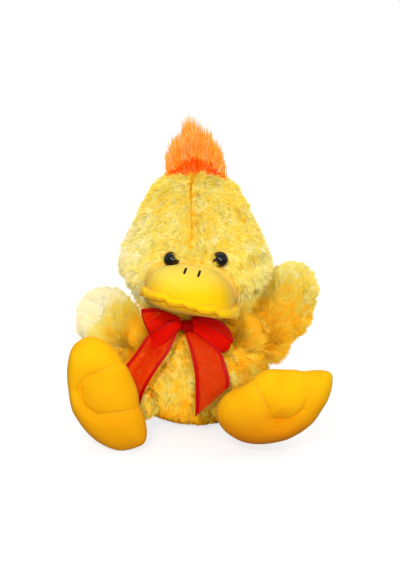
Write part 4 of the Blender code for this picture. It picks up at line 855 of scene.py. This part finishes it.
def foot_form(edges, dimple, lines):
    def form(u, v, inset=0.0):
        """The pillow: u runs from the back's dimple over the edge to the sole's, v round it. The edge is a
        blunt ellipse times a smooth curve of the turn, pulled in at each row of stitches, and the seam that
        joins the two panels runs a little inside the sole's rim."""
        turn, rise = 2 * np.pi * v, np.pi * u
        edge = (np.abs(np.sin(turn)) ** FOOT_EDGE_POWER + np.abs(np.cos(turn)) ** FOOT_EDGE_POWER) ** (-1 / FOOT_EDGE_POWER)
        edge = edge * smooth_curve(edges, (2 * v + 1) % 2 - 1)
        out = np.sin(rise) ** 0.8
        x = (FOOT_HALF_WIDTH - inset) * edge * np.sin(turn) * out + dimple[0] * MM * (1 - out)
        y = (FOOT_HALF_LENGTH - inset) * edge * np.cos(turn) * out + dimple[1] * MM * (1 - out)
        for line in lines:
            notch = np.exp(-(to_line(x, y, line[:2])[0] / 0.0045) ** 2)
            x, y = x * (1 - 0.02 * notch * out), y * (1 - 0.03 * notch * out)
        z = -foot_height(x, y, lines, inset) * np.cos(rise)
        z *= 1 + 0.010 * np.sin(x / 0.0041 + 3 * np.sin(y / 0.006)) * out ** 2
        z *= 1 - 0.07 * np.exp(-((u - 0.625) / 0.009) ** 2)
        return np.stack([x, y, z], -1)
    return form


# Velboa: knitted polyester with a pile under a millimetre, sheared smooth. It is matt, with a pale bloom at
# # its edges and a faint grain along the nap. Its colour turns darker and more orange low down: painted shade.
def velboa(name, low, high, shade, heights, bloom, sheen=0.22):
    """Cloth whose colour is a ramp of broad and fine noise above the higher of two heights, stepping smoothly
    to the shade colour below the lower: painted shade low down, which leaves a top paler as painted light.
    """
    made, tree = material(name)
    place = node(tree, "TexCoord")
    broad = node(tree, "TexNoise", {"Vector": place.outputs["Object"], "Scale": 45.0, "Detail": 2.0})
    grain = node(tree, "TexNoise", {"Vector": place.outputs["Object"], "Scale": 900.0, "Detail": 3.0, "Roughness": 0.7})
    blend = node(tree, "Mix", {0: 0.45, 2: broad.outputs[0], 3: grain.outputs[0]})
    colour = node(tree, "ValToRGB", {0: blend.outputs[0]}, stops=((0.35, low), (0.65, high)))
    split = node(tree, "SeparateXYZ", {0: place.outputs["Object"]})
    up = node(tree, "MapRange", {"Value": split.outputs[2], "From Min": heights[0], "From Max": heights[1]},
              interpolation_type="SMOOTHSTEP")
    # Painted shade: below the given heights the colour steps to the darker shade colour
    painted_shade_mix = node(tree, "Mix", {0: up.outputs[0], 6: linear(shade), 7: colour.outputs[0]}, data_type="RGBA")
    nap = node(tree, "Bump", {"Strength": 0.35, "Distance": 0.0004, "Height": grain.outputs[0]})
    close(tree, node(tree, "BsdfPrincipled", {"Base Color": painted_shade_mix.outputs[2], "Roughness": 0.85,
                                              "Specular IOR Level": 0.1, "Sheen Weight": sheen, "Sheen Roughness": 0.35,
                                              "Sheen Tint": linear(bloom), "Normal": nap.outputs[0]}))
    return made


# Each foot's velboa turns darker and more orange low down, as painted shade; the left foot's, turned more from the
# light, goes deeper
orange_velboa = {"left": velboa("orange_velboa_knit_left", "#F8B000", "#FFC408", "#DA8000", (0.010, 0.075), "#FFE0A0"),
                 "right": velboa("orange_velboa_knit_right", "#F8B000", "#FFC408", "#F0A000", (0.005, 0.110), "#FFE0A0")}

# Topstitching thread: twisted polyester, a shade paler than the velboa it lies on.
foot_thread, tree = material("pale_gold_polyester_thread")
place = node(tree, "TexCoord")
twist = node(tree, "TexWave", {"Vector": place.outputs["Object"], "Scale": 900.0}, bands_direction="DIAGONAL")
colour = node(tree, "ValToRGB", {0: twist.outputs[0]}, stops=((0.2, "#DC9C18"), (0.8, "#FCD460")))
close(tree, node(tree, "BsdfPrincipled", {"Base Color": colour.outputs[0], "Roughness": 0.5}))


def stitches(name, body, middles, along, out, long, thick, look):
    """A row of stitches as one mesh: capsules of six sides whose rings at each end close to a point, each
    lying along the row and half sunk in the cloth."""
    across = np.cross(out, along)
    course = np.array((-0.5, -0.38, 0.0, 0.38, 0.5))
    round_it = np.array((0.0, 0.8, 1.0, 0.8, 0.0))
    turn = np.linspace(0, 2 * np.pi, 6, endpoint=False)
    ring = (middles[:, None, None] + (long * course[1:4])[None, :, None, None] * along[:, None, None]
            + thick * round_it[1:4][None, :, None, None]
            * (np.cos(turn)[None, None, :, None] * across[:, None, None] + np.sin(turn)[None, None, :, None] * out[:, None, None]))
    count = len(middles)
    tips = middles[:, None] + (long * course[[0, 4]])[None, :, None] * along[:, None]
    points = np.concatenate([ring.reshape(count, 18, 3), tips], axis=1)
    j = np.arange(6)
    k = (j + 1) % 6
    quads = np.concatenate([np.stack([6 * r + j, 6 * r + k, 6 * r + 6 + k, 6 * r + 6 + j], -1) for r in range(2)])
    ends = np.concatenate([np.stack([np.full(6, 18), k, j], -1), np.stack([np.full(6, 19), 12 + j, 12 + k], -1)])
    first = (np.arange(count) * 20)[:, None, None]
    made = new_piece(name, points.reshape(-1, 3), [(first + quads).reshape(-1, 4), (first + ends).reshape(-1, 3)], look)
    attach(made, body)
    return made


for name, side, aim, sole, toes, back, edges, dimple, lines in FEET:
    place = foot_place(side, aim, sole, toes, back)
    shape = foot_form(edges, dimple, lines)
    stuffed(f"foot_{name}_velboa", "foot_" + name, lambda u, v, inset: moved(place, shape(u, v, inset)), 110, 240, 0.85,
            f"foot_{name}_cover", f"foot_{name}_filling", look=orange_velboa[name], inset=0.0002, slot="orange_velboa")
    spots, ways = [], []
    for line in lines:
        bend = np.array(line[:3], float) * MM
        course = np.concatenate([[0], np.cumsum(np.linalg.norm(np.diff(bend, axis=0), axis=1))])
        at = np.arange(0.003, course[-1], STITCH_PITCH)
        flat = np.stack([np.interp(at, course, bend[:, k]) for k in (0, 1)], -1)
        spots.append(flat)
        ways.append(np.gradient(flat, axis=0))
    flat, way = np.concatenate(spots), np.concatenate(ways)
    # The sole's height over each stitch, read back from the pillow's own grid
    u, v = np.meshgrid(np.linspace(0.52, 0.995, 160), np.linspace(0, 1, 400), indexing="ij")
    grid = shape(u.ravel(), v.ravel(), 0.0002)
    nearest = np.array([np.argmin((grid[:, 0] - a) ** 2 + (grid[:, 1] - b) ** 2) for a, b in flat])
    high = grid[nearest, 2]
    sits = np.concatenate([flat, (high + 0.00012)[:, None]], axis=1)
    rise = np.gradient(sits, axis=0)[:, 2] / np.maximum(np.linalg.norm(way, axis=1), 1e-6)
    rise = np.clip(rise, -1.2, 1.2)
    along = unit(np.concatenate([unit(way), rise[:, None]], axis=1))
    out = unit(np.array((0, 0, 1.0)) - along * along[:, 2:3])
    turned = np.array(place)[:3, :3].T
    seam = stitches(f"foot_{name}_topstitch", "foot_" + name, moved(place, sits), along @ turned, out @ turned,
                    STITCH_LONG, STITCH_THICK, foot_thread)

# Bill. Two panels of yellow velboa over fibre filling. They meet in a thick rolled lip that ripples, because
# the cloth was eased as it was turned. Two bars of black satin stitch are the nostrils.

# The upper panel is paler over its top, painted light from above, and deeper yellow towards its lip; the lower panel is
# a darker copy of the same cloth under the bill, painted shade, darkest low down
upper_velboa = velboa("yellow_velboa_knit", "#FADA48", "#FFE464", "#FCCA00", (0.150, 0.180), "#FFF6C8", 0.35)
lower_velboa = velboa("yellow_velboa_knit_underside_painted_shade", "#F4B400", "#FCC010", "#EE9C00", (0.118, 0.130), "#FFE8A0", 0.4)


def bill_slope(p):
    """The bill's points with its lip sloping down to its left, while its root stays level."""
    share = np.clip(np.hypot(p[..., 0] / BILL_HALF_WIDTH, p[..., 1] / BILL_REACH), 0, 1) ** 2
    return np.stack([p[..., 0], p[..., 1], p[..., 2] - BILL_SLOPE * p[..., 0] * share], -1)


def bill_ripple(turn):
    """The lip's unevenness, from -1 to 1, by the turn: three waves of unlike length."""
    return (0.55 * np.sin(13 * turn + 0.6) + 0.35 * np.sin(21 * turn + 2.1) + 0.25 * np.sin(34 * turn)) / 1.0


def bill_panel(rise, lip_height, up):
    """A function for one panel: u runs from the middle of its dome out over its half of the lip to the
    seam, then back inside as the lining. The dome is a quarter ellipse raised to a power, and the lip a
    half ellipse standing out from it."""
    def form(u, v, inset=0.0):
        turn = 2 * np.pi * v
        edge = bill_edge(turn)
        crown, lip = np.clip(u / 0.55, 0, 1), np.clip((u - 0.55) / 0.25, 0, 1)
        back = np.clip((u - 0.8) / 0.2, 0, 1)
        ripple = bill_ripple(turn)
        half = 0.5 * BILL_LIP_WIDTH * (1 + 0.12 * ripple)
        low = np.maximum(np.cos(crown * np.pi / 2), 0)
        out = (edge - BILL_LIP_WIDTH) * np.sin(crown * np.pi / 2)
        high = rise * low ** BILL_DOME
        over = np.pi * lip
        out = np.where(u < 0.55, out, edge - half - half * np.cos(over))
        high = np.where(u < 0.55, high, 0.00012 + lip_height * np.sin(over) ** 0.8)
        out = np.where(u < 0.8, out, edge * (1 - back))
        high = np.where(u < 0.8, high, 0.00012)
        near = np.exp(-((np.minimum(out, edge) - edge) / 0.010) ** 2)
        p = np.stack([out * np.sin(turn), -out * np.cos(turn), up * high], -1)
        p = bill_slope(p)
        p[..., 2] += 0.0015 * ripple * near - 0.0045 * (np.abs(p[..., 0]) / BILL_HALF_WIDTH) ** 4
        p[..., 1] -= 0.0008 * bill_ripple(turn + 0.11) * near
        return moved(BILL_PLACE, p)
    return form


stuffed("bill_upper_velboa", "head", bill_panel(BILL_RISE, BILL_LIP_OVER, 1), 120, 240, 0.8, "bill_upper", "bill_filling",
        look=upper_velboa, inset=0.0, slot="yellow_velboa")
stuffed("bill_lower_velboa", "head", bill_panel(BILL_DROP, BILL_LIP_UNDER, -1), 90, 240, 0.8, "bill_lower",
        look=lower_velboa, inset=0.0, slot="yellow_velboa")

# Black satin stitch: close turns of rayon thread over a bar, with a low shine.
black_thread, tree = material("black_rayon_thread")
place = node(tree, "TexCoord")
turns = node(tree, "TexWave", {"Vector": place.outputs["Object"], "Scale": 700.0}, bands_direction="Y")
colour = node(tree, "ValToRGB", {0: turns.outputs[0]}, stops=((0.2, "#050403"), (0.8, "#16120F")))
close(tree, node(tree, "BsdfPrincipled", {"Base Color": colour.outputs[0], "Roughness": 0.6,
                                          "Specular IOR Level": 0.15}))

NOSTRIL_SIDE, NOSTRIL_SPREAD, NOSTRIL_LONG, NOSTRIL_THICK, NOSTRIL_FORWARD = 0.0032, 0.0067, 0.0090, 0.0012, 0.0305
for name, side in (("left", 1), ("right", -1)):
    at = np.linspace(-0.5, 0.5, 13)
    flat = np.array((NOSTRIL_SIDE + side * NOSTRIL_SPREAD, -NOSTRIL_FORWARD)) + at[:, None] * NOSTRIL_LONG * np.array((0, -1))
    turn = np.arctan2(flat[:, 0], -flat[:, 1])
    share = np.clip(np.hypot(*flat.T) / (bill_edge(turn) - BILL_LIP_WIDTH), 0, 0.999)
    high = BILL_RISE * np.sqrt(1 - share ** 2) ** BILL_DOME
    middles = moved(BILL_PLACE, bill_slope(np.concatenate([flat, high[:, None]], 1)))
    way = unit(np.gradient(middles, axis=0))
    out = unit(np.array(BILL_PLACE)[:3, 2] - way * (way @ np.array(BILL_PLACE)[:3, 2])[:, None])
    across = np.cross(out, way)
    # Each turn of thread crosses the bar, so it is short along the row and wide across it
    bar = stitches(f"nostril_{name}_stitch", "head", middles + 0.0002 * out, across, out, 2 * NOSTRIL_THICK, 0.0007, black_thread)
    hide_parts("nostril_stitch_" + name)

# Eyes. Moulded plastic safety eyes: a black dome over a dark brown rim, on a shank that a washer holds inside.

eye_plastic, tree = material("polished_polystyrene")
place = node(tree, "UVMap", uv_map="OFBake")
split = node(tree, "SeparateXYZ", {0: place.outputs[0]})
colour = node(tree, "ValToRGB", {0: split.outputs[1]},
              stops=((0.0, "#020101"), (0.58, "#040201"), (0.72, "#1E0C05"), (0.88, "#42200E"), (1.0, "#1C0B05")))
close(tree, node(tree, "BsdfPrincipled", {"Base Color": colour.outputs[0], "Roughness": 0.04,
                                          "Specular IOR Level": 0.26}))

EYE_DOME, EYE_SINK = 0.0065, 0.0022


def face_point(side, height):
    """The point of the head's surface that far to the side and above its base, and its outward normal,
    from the ellipse at that height."""
    share = height / HEAD_HEIGHT

    def front(across, up):
        girth = 2 * math.sqrt(up * (1 - up)) * float(smooth_curve(HEAD_SWELL, np.array(up)))
        return -HEAD_HALF_DEPTH * girth * math.sqrt(1 - (across / (HEAD_HALF_WIDTH * girth)) ** 2)
    step = 0.01
    spot = Vector((side, front(side, share), height))
    over = Vector((side * (1 - step), front(side * (1 - step), share), height))
    above = Vector((side, front(side, share + step), height + step * HEAD_HEIGHT))
    normal = (over - spot).cross(above - spot).normalized()
    return spot, normal if normal.y < 0 else -normal


def eye_form(place):
    def form(u, v, inset=0.0):
        """A dome over a short skirt: u runs from the back's middle out to the rim and up to the crown."""
        turn = 2 * np.pi * v
        base, dome = np.clip(u / 0.25, 0, 1), np.clip((u - 0.35) / 0.65, 0, 1) * np.pi / 2
        far = EYE_RADIUS * np.where(u < 0.35, base, np.cos(dome))
        high = np.where(u < 0.35, -0.0012 + 0.0012 * np.clip((u - 0.25) / 0.1, 0, 1), EYE_DOME * np.sin(dome))
        return moved(place, np.stack([far * np.cos(turn), far * np.sin(turn), high - EYE_SINK], -1))
    return form


for name, side in (("left", 1), ("right", -1)):
    spot, normal = face_point(side * EYE_SPREAD, EYE_HEIGHT - HEAD_BASE)
    place = placed(spot + Vector((0, -HEAD_FORWARD, HEAD_BASE)), normal, (0, 0, 1))
    rows, sides = 40, 64
    points, faces = closed_form(eye_form(place), rows, sides, 0.0)
    local = moved(place.inverted(), points)
    far = np.hypot(local[:, 0], local[:, 1]) / EYE_RADIUS
    turn = np.arctan2(local[:, 1], local[:, 0]) / (2 * np.pi) + 0.5
    uv = np.concatenate([np.stack([turn[f.ravel()], far[f.ravel()]], -1) for f in faces])
    eye = new_piece(f"eye_{name}_dome", points, faces, eye_plastic, uv, closed=False)
    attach(eye, "head")
    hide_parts("eye_" + name)

# A few tufts fall across the inner edge of each eye. Each root is a place round the eye and a way to lean.
EYE_TUFTS = (("right", -1, ((0.0056, 0.0062, -0.6, -1.0), (0.0070, 0.0044, -1.0, -0.5), (0.0084, 0.0010, -0.6, 0.2))),
             ("left", 1, ((-0.0078, 0.0040, 0.4, -0.9), (-0.0086, 0.0, 0.5, 0.6), (-0.0070, -0.0052, 0.8, 0.4))))
for name, side, tufts in EYE_TUFTS:
    roots, ways, normals = [], [], []
    for across, up, lay_side, lay_up in tufts:
        spot, normal = face_point(side * EYE_SPREAD + across, EYE_HEIGHT - HEAD_BASE + up)
        roots.append(np.array(spot) + (0, -HEAD_FORWARD, HEAD_BASE) - 0.0025 * np.array(normal))
        normals.append(np.array(normal))
        ways.append((lay_side, 0, lay_up))
    brow = fur(f"eye_{name}_tufts", "head", np.array(roots), np.array(normals), np.array(ways, float),
               np.full(len(roots), 0.0078), np.full(len(roots), 0.55), yellow_plush, tuft=34, spread=0.0020, lean=0.42,
               gather=0.35, stray=0.12, shadow=False, seed=97)

washer_plastic, tree = material("moulded_polypropylene_washer")
place = node(tree, "TexCoord")
mottle = node(tree, "TexNoise", {"Vector": place.outputs["Object"], "Scale": 300.0})
colour = node(tree, "ValToRGB", {0: mottle.outputs[0]}, stops=((0.3, "#E2E2DC"), (0.7, "#F0F0EC")))
close(tree, node(tree, "BsdfPrincipled", {"Base Color": colour.outputs[0], "Roughness": 0.45}))
for name in ("left", "right"):
    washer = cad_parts["eye_washer_" + name]
    washer.data.materials.clear()
    washer.data.materials.append(washer_plastic)

# Ribbon. Red organza 38 mm wide with woven satin edges, tied in a bow at the throat. The sheer cloth lets the
# yellow through where it lies single and is deep red where it is folded double.

RIBBON_WIDTH, SATIN_EDGE = 0.038, 0.0042


def woven(name, weft, warp, alpha, thread_mm, rough, shine):
    """Ribbon cloth: two crossed sets of threads drawn by waves across its own map, as bump and as colour."""
    made, tree = material(name)
    place = node(tree, "UVMap", uv_map="OFBake")
    split = node(tree, "SeparateXYZ", {0: place.outputs[0]})
    over = node(tree, "Math", {0: split.outputs[0], 1: 2 * math.pi * 60 / thread_mm}, operation="MULTIPLY")
    along = node(tree, "Math", {0: split.outputs[1], 1: 2 * math.pi * 60 / thread_mm}, operation="MULTIPLY")
    over = node(tree, "Math", {0: over.outputs[0]}, operation="SINE")
    along = node(tree, "Math", {0: along.outputs[0]}, operation="SINE")
    cross = node(tree, "Math", {0: over.outputs[0], 1: along.outputs[0]}, operation="MULTIPLY")
    grid = node(tree, "MapRange", {"Value": cross.outputs[0], "From Min": -1.0})
    colour = node(tree, "Mix", {0: grid.outputs[0], 6: linear(weft), 7: linear(warp)}, data_type="RGBA")
    lift = node(tree, "Bump", {"Strength": 0.3, "Distance": 0.0002, "Height": grid.outputs[0]})
    close(tree, node(tree, "BsdfPrincipled", {"Base Color": colour.outputs[2], "Roughness": rough, "Alpha": alpha,
                                              "Specular IOR Level": shine, "Normal": lift.outputs[0]}))
    return made


organza = woven("red_polyester_organza", "#F01000", "#FA2400", 0.50, 0.9, 0.7, 0.05)
double_organza = woven("red_organza_folded_double", "#EC0600", "#F81800", 0.70, 0.9, 0.7, 0.05)
satin = woven("red_satin_edge", "#B80000", "#CC0000", 1.0, 0.6, 0.45, 0.12)


def smooth_rows(rows, count):
    """More rows on smooth curves through the given ones, evenly spaced along their course."""
    rows = np.array(rows, float)
    course = np.linspace(0, 1, len(rows))
    at = np.linspace(0, 1, count)
    flat = rows.reshape(len(rows), -1)
    return np.stack([smooth_curve(list(zip(course, flat[:, k])), at) for k in range(flat.shape[1])], -1).reshape(
        (count,) + rows.shape[1:])


def strip(name, first, last, share, look, fold, thick, body="torso"):
    """A strip of ribbon between two edge lines, over the share of its width given. A point goes straight
    from one edge to the other, plus a soft fold along the cloth's own normal, and the closed sheet is that
    surface set out by half its thickness on both sides."""
    across = np.linspace(*share, 9 if share[1] - share[0] < 0.3 else 41)
    line = first[:, None] * (1 - across)[None, :, None] + last[:, None] * across[None, :, None]
    normal = unit(np.cross(np.gradient(line, axis=0), np.gradient(line, axis=1)))
    course = np.linspace(0, 1, len(first))[:, None]
    line = line + normal * fold(course, across[None, :])[..., None]
    normal = unit(np.cross(np.gradient(line, axis=0), np.gradient(line, axis=1)))
    rows, columns = line.shape[:2]
    points = np.concatenate([(line + 0.5 * thick * normal).reshape(-1, 3), (line - 0.5 * thick * normal).reshape(-1, 3)])
    i, j = np.meshgrid(np.arange(rows - 1), np.arange(columns - 1), indexing="ij")
    top = np.stack([i * columns + j, i * columns + j + 1, (i + 1) * columns + j + 1, (i + 1) * columns + j], -1).reshape(-1, 4)
    under = top[:, ::-1] + rows * columns
    r, c = np.arange(rows - 1), np.arange(columns - 1)
    rim = []
    for a, b in ((r * columns, (r + 1) * columns), ((r + 1) * columns + columns - 1, r * columns + columns - 1),
                 (c + 1, c), ((rows - 1) * columns + c, (rows - 1) * columns + c + 1)):
        rim.append(np.stack([a, b, b + rows * columns, a + rows * columns], -1))
    faces = np.concatenate([top, under, *rim])
    long = np.concatenate([[0], np.cumsum(np.linalg.norm(np.diff(line[:, columns // 2], axis=0), axis=1))])
    flat = np.stack(np.broadcast_arrays(across[None, :] * RIBBON_WIDTH, long[:, None]), -1).reshape(-1, 2)
    flat = 0.02 + np.concatenate([flat, flat]) / 0.2
    made = new_piece(name, points, faces, look, flat[faces.ravel()])
    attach(made, body)
    return made, float(long[-1])


def ribbon(name, node_name, first, last, fold, cloth=organza, count=64):
    """A length of ribbon between two edge lines: the sheer middle and its two satin edges."""
    first, last = (smooth_rows(np.array(e) * MM, count) for e in (first, last))
    edge = SATIN_EDGE / RIBBON_WIDTH
    middle, long = strip(name, first, last, (edge, 1 - edge), cloth, fold, 0.00030)
    edges = [strip(f"{name}_satin_{i}", first, last, share, satin, fold, 0.00055)[0]
             for i, share in enumerate(((0.0, edge + 0.01), (0.99 - edge, 1.0)))]
    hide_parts(node_name)
    return middle


def pleats(course, across):
    """Gathers that start at the knot and open out along the ribbon."""
    return 0.0008 * np.exp(-course / 0.20) * np.sin(across * 38) + 0.0009 * np.sin(across * 9 + 4 * course)


def loop_pleats(course, across):
    """Gathers at both ends of a loop, which fade towards its fold."""
    near = np.exp(-course / 0.16) + np.exp(-(1 - course) / 0.16)
    return 0.0006 * near * np.sin(across * 38) + 0.0007 * np.sin(across * 8 + 6 * course)


ribbon("ribbon_tail_right", "ribbon_end_right",
       ((-15.4, -53, 112.6), (-29.9, -54, 108.9), (-44.7, -54, 103.9), (-53.3, -55, 93.1), (-60.1, -56, 83.4),
        (-68.1, -57, 73.9), (-73.5, -57, 67)),
       ((-12.5, -54, 108.9), (-17.3, -57, 106.6), (-22.1, -62, 96.9), (-26.9, -65, 87.7), (-38.1, -68, 72.0),
        (-48.5, -70, 54.1), (-55.2, -69, 34.5)), pleats)
ribbon("ribbon_tail_left", "ribbon_end_left",
       ((-11.5, -55, 109.1), (-8.6, -61, 99.7), (-4.4, -67, 84.3), (-1.2, -70, 68.1), (-0.4, -71.5, 48.0), (-0.5, -70, 24.9)),
       ((-3.7, -55, 109.1), (11.7, -60, 101.4), (24.3, -63, 88.2), (29.1, -66, 75.5), (32.4, -68, 63.6), (32.1, -68.5, 54.7)),
       pleats)
ribbon("ribbon_bow_right", "ribbon_loop_right",
       ((-14.5, -48, 118.4), (-27.1, -46, 123.9), (-39.8, -45, 127.7), (-50.4, -46, 127.4), (-53.2, -50, 125.9),
        (-48.3, -55, 114.1), (-42.4, -58, 106.9), (-31.7, -60, 113.3), (-22.0, -59, 118.0), (-14.4, -57, 118.6)),
       ((-14.5, -49, 108.7), (-29.2, -46, 104.9), (-38.0, -45, 97.6), (-42.9, -47, 92.1), (-43.2, -51, 91.1),
        (-39.7, -56, 88.9), (-35.7, -59, 92.2), (-26.9, -61, 98.7), (-19.2, -60, 107.4), (-14.4, -58, 110.8)),
       loop_pleats, double_organza, 96)
ribbon("ribbon_bow_left", "ribbon_loop_left",
       ((-3.8, -50, 119.9), (8.9, -50, 119.9), (21.5, -50, 116.9), (32.1, -52, 108.4), (36.5, -56, 97.4),
        (33.0, -60, 100.4), (24.2, -62, 108.8), (11.7, -61, 115.5), (-3.7, -58, 119.8)),
       ((-2.8, -51, 108.1), (6.9, -51, 101.1), (15.7, -51, 92.1), (22.5, -53, 86.6), (28.3, -56, 84.9),
        (25.3, -61, 87.7), (17.5, -63, 92.2), (9.8, -62, 98.9), (-2.8, -59, 108.1)),
       loop_pleats, double_organza, 96)

# The knot: the ribbon drawn tight round itself, in close pleats.
KNOT_SPOT = np.array((-0.008, -0.0551, 0.1120))
KNOT_HALF = np.array((0.0078, 0.0060, 0.0060))


def knot_form(u, v, inset=0.0):
    """An ellipsoid across the bow, with pleats that run round it."""
    rise, turn = np.pi * u, 2 * np.pi * v
    ball = np.stack([-np.cos(rise), np.sin(rise) * np.cos(turn), np.sin(rise) * np.sin(turn)], -1)
    crease = 1 + 0.07 * np.sin(22 * u + 2 * np.sin(turn)) * np.sin(rise)
    return KNOT_SPOT + KNOT_HALF * ball * crease[..., None]


dark_organza = woven("red_organza_drawn_tight", "#8C0000", "#B00000", 1.0, 0.9, 0.6, 0.05)
points, faces = closed_form(knot_form, 60, 48, 0.0)
around = (points - KNOT_SPOT) / KNOT_HALF
turn = np.arctan2(around[:, 2], around[:, 1]) / (2 * np.pi) + 0.5
uv = np.concatenate([np.stack([turn[f.ravel()], 0.5 + 0.45 * around[f.ravel(), 0]], -1) for f in faces])
knot = new_piece("ribbon_knot_pleats", points, faces, dark_organza, uv)
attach(knot, "torso")
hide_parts("ribbon_knot")

# The band round the neck: the same ribbon, gathered, lying on the shoulders and buried in the pile.
BAND_FROM, BAND_TO, BAND_THICK, BAND_SUNK = 0.890, 0.945, 0.0016, (0.0060, 0.0020)  # in front and behind


def band_form(u, v, inset=0.0):
    """A flat ring of ribbon: u runs round its thin section and v round the neck. It follows the torso's own
    girth between two shares of its height, but keeps clear of the neck roll."""
    turn, way = 2 * np.pi * v, 2 * np.pi * u
    share = 0.5 * (BAND_FROM + BAND_TO) + 0.5 * (BAND_TO - BAND_FROM) * np.cos(way)
    sunk = BAND_SUNK[0] + (BAND_SUNK[1] - BAND_SUNK[0]) * np.clip(np.sin(turn) / 0.5, 0, 1)
    lift = 0.5 * BAND_THICK * (1 + np.sin(way)) - sunk + 0.0003 * np.sin(30 * turn)
    girth = 2 * np.sqrt(share * (1 - share)) * smooth_curve(TORSO_SWELL, share)
    x = (TORSO_HALF_WIDTH * girth + lift) * np.cos(turn)
    y = (TORSO_HALF_DEPTH * girth + lift) * np.sin(turn) - TORSO_LEAN * share ** 2 + NECK_FORWARD
    clear = np.maximum(1, (NECK_RADIUS + 0.0012 + lift + sunk) / np.hypot(x, y))
    return np.stack([x * clear, y * clear - NECK_FORWARD,
                     (TORSO_HEIGHT + TORSO_SEAT_DROP) * share - TORSO_SEAT_DROP + lift + 0.008 * np.clip(-np.sin(turn), 0, 1)],
                    -1)


u, v = np.meshgrid(np.linspace(0, 1, 12, endpoint=False), np.linspace(0, 1, 120, endpoint=False), indexing="ij")
points = band_form(u, v).reshape(-1, 3)
i, j = np.meshgrid(np.arange(12), np.arange(120), indexing="ij")
quads = np.stack([i * 120 + j, i * 120 + (j + 1) % 120, (i + 1) % 12 * 120 + (j + 1) % 120, (i + 1) % 12 * 120 + j], -1).reshape(-1, 4)
flat = np.stack([v.ravel(), u.ravel()], -1)
band = new_piece("ribbon_band", points, quads, dark_organza, flat[quads.ravel()])
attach(band, "torso")
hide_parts("ribbon_neck_band")

low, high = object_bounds()
